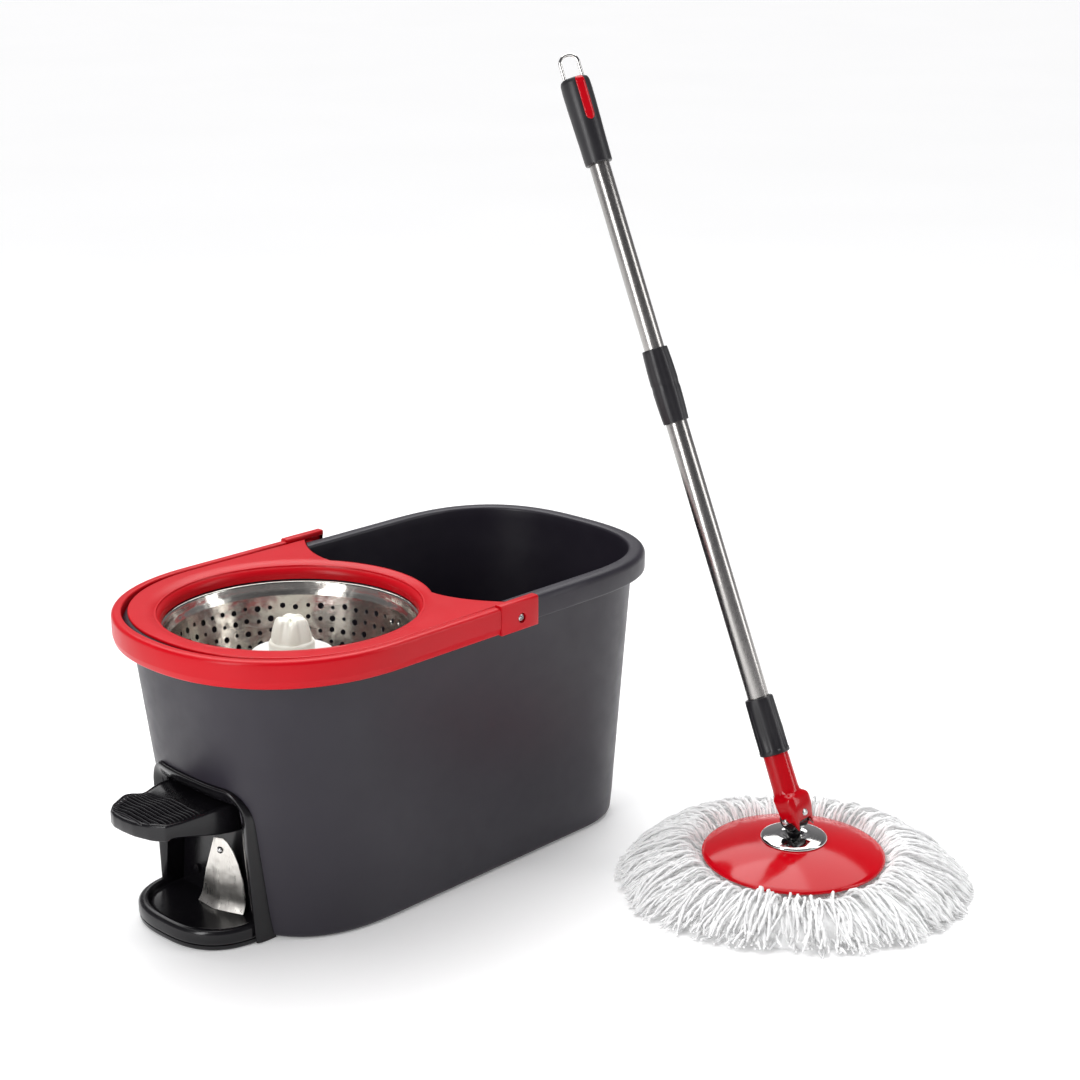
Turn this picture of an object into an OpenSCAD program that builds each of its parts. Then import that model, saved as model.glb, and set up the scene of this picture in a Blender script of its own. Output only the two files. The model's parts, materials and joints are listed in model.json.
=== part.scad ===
// Spin mop set: an oblong wringer bucket with a foot pedal, a spinning basket and a carrying bail,
// and a telescopic mop with a tilting, spinning fringe head that stands beside it.
// Origin: on the floor below the middle of the tub. +X runs away from the pedal, +Z is up.

/* [Tub] */
// Height of the tub wall up to the underside of the rim
tub_h = 236; // [232:1:240]
// Thickness of the tub wall
wall = 3; // [2.5:0.5:3.5]
// Height of the raised floor above the dry gear chamber
deck_z = 135; // [133:1:138]
// Distance from the origin to the axis of the basket
basket_x = 114; // [113:1:115]

/* [Bail] */
// Thickness of the bail band
bail_t = 8.5; // [7:0.5:9]

/* [Basket] */
// Outer radius of the basket's rolled rim
basket_r = 110; // [108:1:111]
// Number of drain holes in each row of the basket
basket_holes = 20; // [12:2:24]

/* [Gear train] */
// Teeth on a full circle of the pedal's sector gear
sector_teeth = 68; // [66:2:70]
// Teeth of the pinion that the sector drives
pinion_teeth = 14; // [13:1:15]
// Teeth of the crown wheel beside the pinion
crown_teeth = 36; // [34:2:38]
// Teeth of the clutch pinion that the crown wheel drives
clutch_teeth = 12; // [11:1:13]

/* [Mop] */
// Lean of the handle from upright
lean = 23.3; // [15:0.1:35]
// Radius of the red head plate
plate_r = 80; // [78:1:82]
// Radius of the fringe
fringe_r = 157; // [150:1:160]
// Outer radius of the lower tube
tube_r = 9.6; // [9.6:0.1:9.8]

/* [Hidden] */
$fn = 64;

rim_top = 256.5;
rim_h = 20.5;
eye = [19, 246];               // bail hinge, X and Z
band_gap = 0.6;                // gap between the bail and the rim
band_z = 236.5;
band_top = 260;
hinge = [-188, 104];           // pedal hinge, X and Z
gear_m = 2;                    // module of the sector and its pinion
crown_m = 1.5;                 // module of the crown wheel
sector_r = gear_m * sector_teeth / 2;
pinion_r = gear_m * pinion_teeth / 2;
crown_r = crown_m * crown_teeth / 2;
clutch_r = crown_m * clutch_teeth / 2;
mesh_gap = sector_r + pinion_r;
lay = [-basket_x, hinge[1] - sqrt(pow(mesh_gap, 2) - pow(-basket_x - hinge[0], 2))];
mesh_angle = atan2(lay[1] - hinge[1], lay[0] - hinge[0]);
crown_z = lay[1] + crown_r;    // height at which the crown wheel meets the clutch pinion
shaft_r = 4;
run = 0.05;                    // radial running clearance
basket_top = 243.5;
hub_z = 212;                   // top of the basket's raised middle
mop_at = [184, -313];
tilt_z = 61;                   // height of the handle's tilt axis
tube_t = 0.3;
upper_r = 9;
cam_r = tube_r - tube_t - run;

// A tub outline: straight sides with a rounded end on the left and on the right.
// Ends l and r, width w, straight stretch from cl to cr, end exponents nl and nr.
function outline(l, r, w, cl, cr, nl, nr, k = 13) = [
    for (i = [-k : k]) let (a = 90 * i / k)
        [cr + (r - cr) * pow(cos(a), 2 / nr), w / 2 * sign(a) * pow(abs(sin(a)), 2 / nr)],
    for (i = [-k : k]) let (a = 90 * i / k)
        [cl - (cl - l) * pow(cos(a), 2 / nl), -w / 2 * sign(a) * pow(abs(sin(a)), 2 / nl)]];

function foot_outline(inset) =
    outline(-207.7 + inset, 218.7 - inset, 218.2 - 2 * inset, -93.8, 135.4, 2.7, 2.6);
function brim_outline(inset) =
    outline(-238.5 + inset, 243.5 - inset, 244 - 2 * inset, -110, 122, 2.6, 2.65);
function rim_outline(inset) =
    outline(-250.5 + inset, 255.5 - inset, 267.8 - 2 * inset, -117.6, 116.5, 2.17, 2.67);
function lerp(a, b, t) = a + (b - a) * t;
// The tub wall's outline at height z
function wall_outline(z, inset) = let (t = z / tub_h, a = foot_outline(inset), b = brim_outline(inset))
    [for (i = [0 : len(a) - 1]) lerp(a[i], b[i], t)];

module slab(z, points, h = 0.5) translate([0, 0, z]) linear_extrude(h) polygon(points);

// The tub's tapered body, drawn in by inset all round, from z0 to z1
module tub_body(inset, z0, z1, foot = 0) hull() {
    slab(z0, wall_outline(z0, inset + foot));
    slab(z0 + foot, wall_outline(z0 + foot, inset));
    slab(z1 - 0.5, wall_outline(z1, inset));
}

module box(lo, hi) translate(lo) cube(hi - lo);
module along_y(x, z, r, y0, y1) translate([x, y0, z]) rotate([-90, 0, 0]) cylinder(r = r, h = y1 - y0);
module along_x(y, z, r, x0, x1) translate([x0, y, z]) rotate([0, 90, 0]) cylinder(r = r, h = x1 - x0);
// A prism along X over a half outline of Y and Z points and its mirror image
module along_x_prism(half, x0, x1) translate([x0, 0, 0]) rotate([90, 0, 90]) linear_extrude(x1 - x0)
    polygon(concat(half, [for (i = [len(half) - 1 : -1 : 0]) [-half[i][0], half[i][1]]]));
module ring(ro, ri, h) difference() {
    cylinder(r = ro, h = h);
    translate([0, 0, -1]) cylinder(r = ri, h = h + 2);
}
module both_sides() {
    children();
    mirror([0, 1, 0]) children();
}

// Involute gear outline with the given module, teeth and backlash
function involute(rb, t) = [rb * (cos(t) + t * PI / 180 * sin(t)), rb * (sin(t) - t * PI / 180 * cos(t))];
function turn(p, a) = [p[0] * cos(a) - p[1] * sin(a), p[0] * sin(a) + p[1] * cos(a)];
function flank(m, n, play) = let (rp = m * n / 2, rb = rp * cos(20), ra = rp + m * 0.95,
        rf = rp - m * 1.2, start = max(rb, rf),
        half = 90 / n - play / rp * 90 / PI, inv = tan(20) * 180 / PI - 20)
    [turn([rf, 0], -half - inv * 1.3),
        for (s = [0 : 4]) let (r = lerp(start, ra, s / 4), t = tan(acos(rb / r)) * 180 / PI)
            turn(involute(rb, t), -half - inv)];
function tooth(m, n, play) = let (f = flank(m, n, play))
    concat(f, [for (i = [len(f) - 1 : -1 : 0]) [f[i][0], -f[i][1]]]);
function gear_points(m, n, play, first = 0, count = 0) = [
    for (k = [0 : (count == 0 ? n : count) - 1]) for (p = tooth(m, n, play)) turn(p, 360 / n * (first + k))];

// A coil of wire as a closed tube, centred on Y,
function coil_point(r, pitch, a) = [r * cos(a), pitch * a / 360, r * sin(a)];
// and a straight leg of the given length at its first end
module coil(r, wire, pitch, turns, leg, steps = 18, sides = 8) {
    n = turns * steps + 1;
    points = [for (i = [0 : n]) let (a = 360 * max(i - 1, 0) / steps, c = coil_point(r, pitch, a))
        for (j = [0 : sides - 1]) let (b = 360 * j / sides)
            [c[0] + wire * cos(b) * cos(a), c[1] + wire * sin(b),
                c[2] + wire * cos(b) * sin(a) - (i == 0 ? leg : 0)]];
    sides_of = [for (i = [0 : n - 1]) for (j = [0 : sides - 1]) let (k = (j + 1) % sides)
        [i * sides + j, i * sides + k, (i + 1) * sides + k, (i + 1) * sides + j]];
    ends = [[for (j = [sides - 1 : -1 : 0]) j], [for (j = [0 : sides - 1]) n * sides + j]];
    polyhedron(points, concat(sides_of, ends), convexity = 6);
}

// ---- Bucket, fixed parts ----

screw_x = [-172, -64];
screw_y = 62;
recess_back = -192.5;
// Half outline, Y and Z, of the housing's seat in the tub, drawn in by gap
function recess(gap) = [[63 - gap, -1], [52.8 - gap, 92], [51.6 - gap, 125.5 - gap]];
post_y = [30, 68];               // the two posts that the housing is screwed to
post_x = -186;
housing_screw = [37, 30, 74];    // distance from the middle, and the heights of both rows

module tub() color("#3b383f") difference() {
    union() {
        tub_body(0, 0, tub_h, 6);
        slab(rim_top - 3, rim_outline(0), 3);
        difference() {
            slab(rim_top - rim_h, rim_outline(0), rim_h);
            slab(rim_top - rim_h - 1, rim_outline(3), rim_h + 2);
        }
        translate([0, 0, tub_h - 1]) linear_extrude(rim_top - tub_h + 0.5) polygon(brim_outline(0));
        both_sides() box([eye[0] - 9, 121, eye[1] - 8], [eye[0] + 9, 131.5, eye[1] + 9]);
    }
    difference() {
        hull() {
            slab(-1, wall_outline(0, wall));
            slab(rim_top + 1, wall_outline(rim_top + 1, wall));
        }
        box([-45, -150, -2], [260, 150, 4]);
        box([-48, -150, -2], [-45, 150, deck_z]);
        box([-260, -150, deck_z - wall], [-46, 150, deck_z]);
        translate([-basket_x, 0, deck_z - wall]) cylinder(r = 14, h = 64);
        for (x = screw_x) both_sides() translate([x, screw_y, 6.2]) cylinder(r = 5, h = deck_z - 7);
        both_sides() box([-200, post_y[0], 6.3], [post_x, post_y[1], 82]);
    }
    along_x_prism(recess(0), -270, recess_back);
    both_sides() for (i = [1, 2]) along_x(housing_screw[0], housing_screw[i], 2, -194, post_x - 1);
    translate([-basket_x, 0, deck_z - wall - 1]) cylinder(r = 9, h = 70);
    both_sides() along_y(eye[0], eye[1], 3, 119, 140);
    for (x = screw_x) both_sides() translate([x, screw_y, 5]) cylinder(r = 1.9, h = 26);
}

ring_in = 108;
ring_r = 7.5;
frame_z = rim_top;
module top_frame() color("#d6001c") {
    wing = [for (i = [0 : 8]) let (y = lerp(129.5, 66, i / 8)) [-12 + 26 * pow((y - 66) / 63.5, 2), -y]];
    left = [for (p = outline(-244.5, 0, 264, -114, -1, 2.17, 2)) if (p[0] < -60) p];
    far_wing = [for (i = [8 : -1 : 0]) [wing[i][0], -wing[i][1]]];
    translate([0, 0, frame_z]) linear_extrude(2.5) difference() {
        union() {
            polygon(concat(wing, far_wing, left));
            translate([-basket_x, 0]) circle(r = 119);
        }
        translate([-basket_x, 0]) circle(r = ring_in + 4);
    }
    translate([-basket_x, 0, 0]) rotate_extrude($fn = 96) difference() {
        union() {
            translate([ring_in + ring_r, frame_z - 5]) circle(r = ring_r, $fn = 32);
            translate([ring_in, frame_z - 10]) square([2.5, 8]);
        }
        translate([ring_in + ring_r, frame_z - 6]) circle(r = ring_r - 2.5, $fn = 32);
        translate([ring_in + 2.5, frame_z - 12]) square([2 * ring_r, 10]);
        translate([ring_in + 10.5, frame_z - 20]) square(20);
    }
}

cap_y = 143.5;
module bail_screws() color("silver") both_sides() {
    along_y(eye[0], eye[1], 3, 122, 139.4);
    along_y(eye[0], eye[1], 4, 139.4, cap_y - 0.5);
}

arch_y = 64;
arch_top = 135.5;
arch_round = [24, 28.5];       // reach of the arch's rounded shoulders, in Y and Z
module arch() along_x_prism(concat([[arch_y, 0]], [for (a = [0 : 15 : 90])
    [arch_y - arch_round[0] * (1 - cos(a)), arch_top - arch_round[1] * (1 - sin(a))]]), -260, 0);
// The housing's front follows the tub's plan but stands nearly upright, so it is proud at its foot
module housing_front() hull() {
    slab(0, wall_outline(100, -3.4));
    slab(arch_top, wall_outline(arch_top, -3.4));
}

tray_end = [-200, 61, 65];      // where the round of the tray starts, its reach and its half width
tray_rim = 9;
pedal_shift = 4;                // the tray and the pedal's plate lie a little to the +Y side
module tray_outline(inset) translate([0, pedal_shift]) polygon(concat([[-190, tray_end[2] - inset]],
    [for (i = [12 : -1 : -12]) let (a = 7.5 * i)
        [tray_end[0] - (tray_end[1] - inset) * pow(cos(a), 0.76),
            (tray_end[2] - inset) * sign(a) * pow(abs(sin(a)), 0.76)]], [[-190, inset - tray_end[2]]]));

cavity = [[59.6, 12], [49.2, 92], [48, 115], [45, 121]];
cavity_back = -196;
ear_y = [47.5, 51.2];           // the ears that hold the pedal's pin
module pedal_housing() color("#1c1b1d") difference() {
    union() {
        difference() {
            intersection() {
                housing_front();
                arch();
            }
            tub_body(-0.3, -1, 160);
            along_x_prism(cavity, -300, cavity_back);
        }
        difference() {
            linear_extrude(18) tray_outline(0);
            tub_body(-0.3, -1, 160);
            translate([0, 0, 12]) linear_extrude(20) tray_outline(tray_rim);
        }
        difference() {
            intersection() {
                along_x_prism(recess(0.3), -260, recess_back);
                housing_front();
            }
            along_x_prism(cavity, -300, cavity_back);
        }
        both_sides() box([cavity_back, ear_y[0], 90], [hinge[0] + 9, ear_y[1], 118]);
        box([cavity_back, -20, 82], [hinge[0] + 14, 0, 86]);
    }
    box([-200, -45, 86], [-190, 45, 121]);
    both_sides() along_y(hinge[0], hinge[1], 3, 45, 52);
    both_sides() for (i = [1, 2]) along_x(housing_screw[0], housing_screw[i], 2, -198, -190);
}

module housing_screws() color("#555555") both_sides() for (i = [1, 2]) {
    along_x(housing_screw[0], housing_screw[i], 2, cavity_back, post_x - 1);
    along_x(housing_screw[0], housing_screw[i], 3.6, cavity_back - 2, cavity_back);
}

guard_top = 78;
module toe_guard() color("#c9c6c2") {
    intersection() {
        translate([0, 0, 12]) linear_extrude(guard_top - 12)
            polygon([[-208.5, 18], [-210, -5], [-200, -33], [-199, -32.7], [-208.9, -4.8], [-207.5, 18]]);
        rotate([90, 0, -90]) linear_extrude(240)
            polygon([[32, 10], [-18, 10], [-9, 43], [4, 76], [7, guard_top], [17, guard_top], [23, 68], [27, 57], [31, 40]]);
    }
    difference() {
        box([-208, -12, 12], [-196.2, 4, 13]);
        translate([-202, -4, 10]) cylinder(r = 2, h = 5);
    }
}

module guard_rivets() color("silver") {
    along_x(-10, 67, 2, -205.2, -196);
    along_x(-10, 67, 3.4, -208.6, -206.9);
    translate([-202, -4, 10]) cylinder(r = 2, h = 3);
    translate([-202, -4, 13]) cylinder(r = 3.4, h = 1.2);
}

module pedal_pin() color("silver") along_y(hinge[0], hinge[1], 3, -ear_y[1] + 0.4, ear_y[1] - 0.4);

module return_spring() color("silver")
    translate([hinge[0], -15, hinge[1]]) coil(11, 0.9, 2.6, 5, 18);

frame_y = [30, 34];
module gear_frame() color("#4a4a4c") difference() {
    union() {
        both_sides() box([-168, frame_y[0], 6], [-84, frame_y[1], 110]);
        box([-168, -32, 6], [-84, 32, 9]);
        box([-128, -32, 102], [-84, 13, 110]);
        box([-112, 12, 102], [-84, 32, 110]);
    }
    both_sides() along_y(lay[0], lay[1], 6.5, 28, 36);
    translate([-basket_x, 0, 100]) cylinder(r = 7, h = 12);
}

module base_cover() color("#2b2a2d") difference() {
    intersection() {
        slab(2.5, wall_outline(0, 4.5), 3.5);
        box([-188, -120, 0], [-50, 120, 10]);
    }
    for (x = screw_x) both_sides() translate([x, screw_y, 0]) cylinder(r = 2, h = 10);
}

module cover_screws() color("silver") for (x = screw_x) both_sides() translate([x, screw_y, 0]) {
    translate([0, 0, 0.8]) cylinder(r = 3.5, h = 1.7);
    translate([0, 0, 2.4]) cylinder(r = 1.8, h = 24);
}

module spindle_bush_upper() color("#b08d57")
    translate([-basket_x, 0, 176]) ring(8.95, shaft_r + run, 19);
module spindle_bush_lower() color("#b08d57")
    translate([-basket_x, 0, 101]) ring(6.95, shaft_r + run, 10);
module layshaft_bushes() color("#b08d57") both_sides() difference() {
    along_y(lay[0], lay[1], 6.45, 29, 35);
    along_y(lay[0], lay[1], shaft_r + run, 28, 36);
}

// ---- Bail ----

module bail() color("#e0001f") {
    translate([0, 0, band_z]) linear_extrude(band_top - band_z) difference() {
        polygon(rim_outline(-band_gap - bail_t));
        polygon(rim_outline(-band_gap));
        translate([-6, -200]) square([300, 400]);
    }
    both_sides() difference() {
        union() {
            along_y(eye[0], eye[1], 9.3, 134.6, 139.2);
            box([-7, 134.6, band_z + 1], [eye[0], 139.2, 255]);
        }
        along_y(eye[0], eye[1], 3 + run, 130, 145);
    }
}

module bail_caps() color("#e0001f") both_sides() difference() {
    union() {
        box([-5.5, 139.3, 235.5], [39, cap_y, 262]);
        box([-5.5, 134.8, 257.5], [39, cap_y, 262]);
    }
    along_y(eye[0], eye[1], 4.4, 135, 150);
}

// ---- Pedal and gear train ----

// Side view of the pedal's plate, and its plan: the -Y front corner is the sharper one
pedal_side = [[-214, 118.5], [-238, 118.2], [-262, 115.8], [-276, 114.4], [-286, 111.5], [-290, 110],
    [-290, 101], [-272, 103.5], [-248, 101], [-226, 94.5], [-214, 93.5]];
pedal_points = [[-214, -42.5], [-240, -40.5], [-260, -36], [-270, -31.5], [-273.5, -28], [-279.5, -17],
    [-284, -2], [-285, 12], [-284.5, 24], [-281.5, 32.5], [-275, 38], [-262, 41.5], [-248, 41.5],
    [-232, 39.5], [-214, 38]];
module pedal_profile(drop, y) translate([0, y, -drop]) rotate([90, 0, 0]) linear_extrude(2 * y)
    polygon(pedal_side);
module pedal_plan(inset) translate([0, 0, 80]) linear_extrude(60) polygon(
    [for (p = pedal_points)
        [p[0] + inset * (-214 - p[0]) / 71, p[1] - inset * max(-1, min(1, p[1] / 20))]]);

module pedal() color("#161517") difference() {
    union() {
        translate([0, pedal_shift, 0]) difference() {
            intersection() {
                union() {
                    pedal_profile(0, 50);
                    for (i = [0 : 11]) along_y(-279 + 3.4 * i, 112.6 + 0.3 * i, 0.9 + 0.05 * i, -34, 34);
                }
                pedal_plan(0);
            }
            intersection() {
                pedal_profile(3.5, 45);
                pedal_plan(3.5);
            }
            intersection() {
                box([-276, -45, 90], [-200, 45, 106]);
                pedal_plan(3.5);
            }
        }
        translate([0, pedal_shift, 0]) both_sides() translate([0, 38, 0]) rotate([90, 0, 0])
            linear_extrude(4) polygon([[-224, 116], [-188, 111.5], [-182, 104], [-188, 96.5], [-214, 97], [-224, 98]]);
        along_y(hinge[0], hinge[1], 8, -44.5, 44.5);
        along_y(hinge[0], hinge[1], 14, 12, 15.9);
    }
    along_y(hinge[0], hinge[1], 3 + run, -50, 50);
    for (a = [0, 180]) along_y(hinge[0] + 11 * cos(a + 40), hinge[1] + 11 * sin(a + 40), 1.5, 10, 18);
}

sector_first = -9;
sector_count = 12;
module xz_plate(at, y, h) translate([at[0], y + h, at[1]]) rotate([90, 0, 0]) linear_extrude(h) children();

module sector_gear() color("#e9e7e0") difference() {
    xz_plate(hinge, 16, 8) difference() {
        union() {
            rotate(mesh_angle) polygon(concat([turn([9, 0], 360 / sector_teeth * (sector_first - 1))],
                gear_points(gear_m, sector_teeth, 0.35, sector_first, sector_count),
                [turn([9, 0], 360 / sector_teeth * (sector_first + sector_count + 1))]));
            circle(r = 14);
        }
        circle(r = 8);
        rotate(mesh_angle - 20) translate([42, 0]) circle(r = 9);
    }
    for (a = [0, 180]) along_y(hinge[0] + 11 * cos(a + 40), hinge[1] + 11 * sin(a + 40), 1.5, 10, 30);
}

module sector_rivets() color("silver") for (a = [0, 180]) {
    along_y(hinge[0] + 11 * cos(a + 40), hinge[1] + 11 * sin(a + 40), 1.5, 12, 24);
    along_y(hinge[0] + 11 * cos(a + 40), hinge[1] + 11 * sin(a + 40), 2.4, 24, 25);
}

module layshaft() color("silver") along_y(lay[0], lay[1], shaft_r, -36, 36);

module layshaft_pinion() color("#e9e7e0") xz_plate(lay, 14.5, 11) difference() {
    rotate(mesh_angle + 180 + 180 / pinion_teeth) polygon(gear_points(gear_m, pinion_teeth, 0.35));
    circle(r = shaft_r);
}

crown_back = -18;
crown_root = -clutch_r - 1.95;
module crown_wheel() color("#e9e7e0") {
    difference() {
        union() {
            along_y(lay[0], lay[1], crown_r + 2.5, crown_back, crown_root);
            along_y(lay[0], lay[1], 8, -28, crown_back + 1);
        }
        along_y(lay[0], lay[1], shaft_r, -40, 0);
        for (k = [0 : 5]) rotate_about_lay(60 * k + 30) along_y(lay[0], lay[1] + 16, 5, -30, 0);
    }
    for (k = [0 : crown_teeth - 1]) rotate_about_lay(360 / crown_teeth * k)
        translate([lay[0], 0, lay[1] + crown_r - 2]) linear_extrude(4)
            polygon([[-1.75, crown_root - 0.2], [1.75, crown_root - 0.2], [1.68, crown_root],
                [0.46, -clutch_r + 1.4], [-0.46, -clutch_r + 1.4], [-1.68, crown_root]]);
}
module rotate_about_lay(a) translate([lay[0], 0, lay[1]]) rotate([0, a, 0])
    translate([-lay[0], 0, -lay[1]]) children();

module clutch_pinion() color("#e9e7e0") translate([-basket_x, 0, 0]) difference() {
    union() {
        translate([0, 0, crown_z - 4]) linear_extrude(8)
            rotate(-90 + 180 / clutch_teeth) polygon(gear_points(crown_m, clutch_teeth, 0.3));
        translate([0, 0, crown_z - 7.5]) cylinder(r = 6.8, h = 4);
    }
    cylinder(r = shaft_r + run, h = 200);
}

// ---- Basket ----

module spindle() color("silver") translate([-basket_x, 0, crown_z - 12]) cylinder(r = shaft_r, h = 238 - crown_z + 12);
module spindle_clip() color("#3a3a3a") translate([-basket_x, 0, crown_z - 10.5]) ring(6.5, shaft_r, 1.5);

basket_t = 1;
corner_r = 10;
module basket_profile(grow) polygon(concat(
    [[0, hub_z - grow], [34 - grow / 2, hub_z - grow], [46 - grow / 2, 178 - grow]],
    [for (i = [0 : 6]) let (a = -90 + 80 * i / 6)
        [87 + (corner_r + grow) * cos(a), 178 + corner_r + (corner_r + grow) * sin(a)]],
    [[103.5 + grow, 234], [106 + grow, 236.5], [106 + grow, basket_top], [0, basket_top]]));
module basket() color("#cfcac2") translate([-basket_x, 0, 0]) difference() {
    union() {
        rotate_extrude($fn = 96) difference() {
            basket_profile(basket_t);
            basket_profile(0);
        }
        translate([0, 0, basket_top - 3]) ring(basket_r, 106, 3);
    }
    translate([0, 0, 200]) cylinder(r = shaft_r, h = 20);
    for (z = [196 : 10 : 226]) for (k = [0 : basket_holes - 1])
        rotate(360 / basket_holes * (k + z / 20)) translate([90, 0, z]) rotate([0, 90, 0])
            cylinder(r = 1.6, h = 22);
    for (r = [56, 74]) for (k = [0 : basket_holes - 1])
        rotate(360 / basket_holes * k) translate([r, 0, 170]) cylinder(r = 1.6, h = 12);
}

module hub_flange() color("#dcdcda") translate([-basket_x, 0, hub_z]) ring(35.5, shaft_r, 3);

hub_top = 246;
module basket_hub() color("#eeeee2") translate([-basket_x, 0, 0]) difference() {
    union() {
        translate([0, 0, hub_z + 3]) cylinder(r = 19.5, h = 11);
        translate([0, 0, hub_z + 14]) cylinder(r1 = 18, r2 = 14, h = hub_top - hub_z - 14);
    }
    translate([0, 0, hub_z]) cylinder(r = shaft_r, h = 238 - hub_z);
    for (k = [0 : 2]) rotate(60 * k) translate([8, -2.5, hub_top - 6]) cube([12, 5, 10]);
    for (k = [0 : 2]) rotate(60 * k + 180) translate([8, -2.5, hub_top - 6]) cube([12, 5, 10]);
}

// ---- Mop head ----

module at_mop() translate([mop_at[0], mop_at[1], 0]) children();
stem_r = 6;
module swivel_post() color("#2a2729") difference() {
    union() {
        at_mop() translate([0, 0, 29]) cylinder(r = stem_r, h = tilt_z - 29);
        translate([mop_at[0], 0, 0]) along_x(mop_at[1], tilt_z, 9.5, -9.5, 9.5);
    }
    translate([mop_at[0], 0, 0]) along_x(mop_at[1], tilt_z, 3 + run, -20, 20);
}
module post_clip() color("silver") at_mop() translate([0, 0, 31]) ring(9, stem_r, 1.5);

function dome(r) = 43.5 - 14.5 * pow(r / plate_r, 2.2);
dome_t = 2.5;
module head_plate() color("#d6001c") at_mop() {
    rotate_extrude($fn = 96) polygon(concat(
        [for (i = [0 : 12]) let (r = lerp(12, plate_r - 2, i / 12)) [r, dome(r)]],
        [[plate_r - 0.6, 28.4], [plate_r, 27.6], [plate_r - 0.6, 26.8]],
        [for (i = [12 : -1 : 0]) let (r = lerp(12, plate_r - 2, i / 12)) [r, dome(r) - dome_t]]));
    translate([0, 0, 33]) ring(15, 12, 9);
    translate([0, 0, 21]) ring(46.5, 44, 17);
}
module head_bearing() color("silver") at_mop() translate([0, 0, 33.5]) ring(12, stem_r + run, 8);
module bearing_cap() color("silver") at_mop() rotate_extrude($fn = 96)
    polygon([[8, 44.6], [12, 46.4], [27, 45], [28.6, 44.4], [29, 43.4], [29, 42.2], [28, 42.3],
        [26.5, 43.8], [12, 45.2], [8, 43.6]]);
module fringe_ring() color("white") at_mop() translate([0, 0, 21]) ring(60, 46.6, 4);
module fringe() color("white") at_mop() rotate_extrude($fn = 96)
    polygon([[61, 3], [61, 25], [79, 25.5], [82.5, 30], [86, 36], [100, 39], [125, 37], [145, 28],
        [fringe_r - 2, 14], [fringe_r, 4], [fringe_r - 3, 0], [64, 0]]);

// ---- Mop handle, drawn upright above the tilt axis and then leaned over ----

module on_handle() translate([mop_at[0], mop_at[1], tilt_z]) rotate([-lean, 0, 0]) children();
neck_top = 58.6;
module yoke() color("#d6001c") on_handle() difference() {
    union() {
        both_sides_x() box([9.8, -11.5, 0], [13.7, 8, 24]);
        both_sides_x() along_x(0, 0, 11.5, 9.8, 13.7);
        box([-13.7, -13, -1], [13.7, 8, 24]);
        translate([0, 0, 22]) cylinder(r1 = 13, r2 = 11.15, h = neck_top - 22);
    }
    box([-9.8, -10.2, -20], [9.8, 20, 10.6]);
    along_x(0, 0, 3, -20, 20);
    translate([0, 0, 42]) cylinder(r = tube_r, h = 30);
    along_y(0, 4, 3.4, -20, -8);
}
module both_sides_x() {
    children();
    mirror([1, 0, 0]) children();
}
module tilt_pin() color("silver") on_handle() along_x(0, 0, 3, -14.2, 14.2);
module front_stud() color("#77706c") on_handle() along_y(0, 4, 3.4, -13.8, -10.3);

sleeve_end = 109.5;
button_s = 92;
module lower_sleeve() color("#2d2c2f") on_handle() difference() {
    translate([0, 0, neck_top + 0.2]) cylinder(r1 = 13.4, r2 = 12.4, h = sleeve_end - neck_top - 0.2);
    translate([0, 0, 40]) cylinder(r = tube_r, h = 90);
    along_x(0, button_s, 5 + run, 8, 20);
}
module sleeve_button() color("#232225") on_handle() along_x(0, button_s, 5, 11.4, 15.4);

lower_end = 372;
module lower_tube() color("silver") on_handle()
    translate([0, 0, 42]) ring(tube_r, tube_r - tube_t, lower_end - 42);

collar = [359.8, 425.6];
module lock_collar() color("#2d2c2f") on_handle() difference() {
    translate([0, 0, collar[0]]) rotate_extrude() polygon(concat([[0, 0]],
        [for (i = [0 : 8]) [11.6 + 1.1 * sin(180 * i / 8), (collar[1] - collar[0]) * i / 8]],
        [[0, collar[1] - collar[0]]]));
    translate([0, 0, 350]) cylinder(r = tube_r + run, h = lower_end + 0.5 - 350);
    translate([0, 0, 370]) cylinder(r = upper_r + run, h = 70);
}

cam_s = 132;
module lock_cam() color("#3a3a3c") on_handle() {
    translate([0, 0, cam_s]) cylinder(r = cam_r, h = 24);
    translate([0, 0, cam_s + 23]) cylinder(r = upper_r - tube_t, h = 16);
}
module upper_tube() color("silver") on_handle()
    translate([0, 0, cam_s + 24]) ring(upper_r, upper_r - tube_t, 664 - cam_s - 24);

grip_s = [593.8, 670.5];
inlay_turn = 245;
module inlay_block(w, s0, s1) rotate(inlay_turn) box([9.5, -w / 2, s0], [20, w / 2, s1]);
module grip_body() translate([0, 0, grip_s[0]]) rotate_extrude() polygon([[0, 0], [11.2, 0], [12, 1],
    [12.4, 20], [13.2, 50], [13.4, 66], [12.6, 74], [10.5, 76.7], [0, 76.7]]);
loop_s = [664.5, 684];
module loop_leg(r) rotate(315) both_sides_x() translate([8, 0, loop_s[0]])
    cylinder(r = r, h = loop_s[1] - loop_s[0], $fn = 32);
module grip() color("#2d2c2f") on_handle() difference() {
    grip_body();
    translate([0, 0, 590]) cylinder(r = upper_r, h = 74);
    difference() {
        inlay_block(9, 630, 672);
        translate([0, 0, 600]) cylinder(r = 11.4, h = 80);
    }
    loop_leg(1.7);
}
module grip_inlay() color("#e0001f") on_handle() difference() {
    intersection() {
        inlay_block(9, 630, 669);
        translate([0, 0, 600]) cylinder(r = 13.7, h = 80);
    }
    translate([0, 0, 590]) cylinder(r = 11.4, h = 90);
}
module hang_loop() color("silver") on_handle() {
    loop_leg(1.7);
    translate([0, 0, loop_s[1]]) rotate([90, 0, 315]) rotate_extrude(angle = 180)
        translate([8, 0]) circle(r = 1.7, $fn = 32);
}

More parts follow.
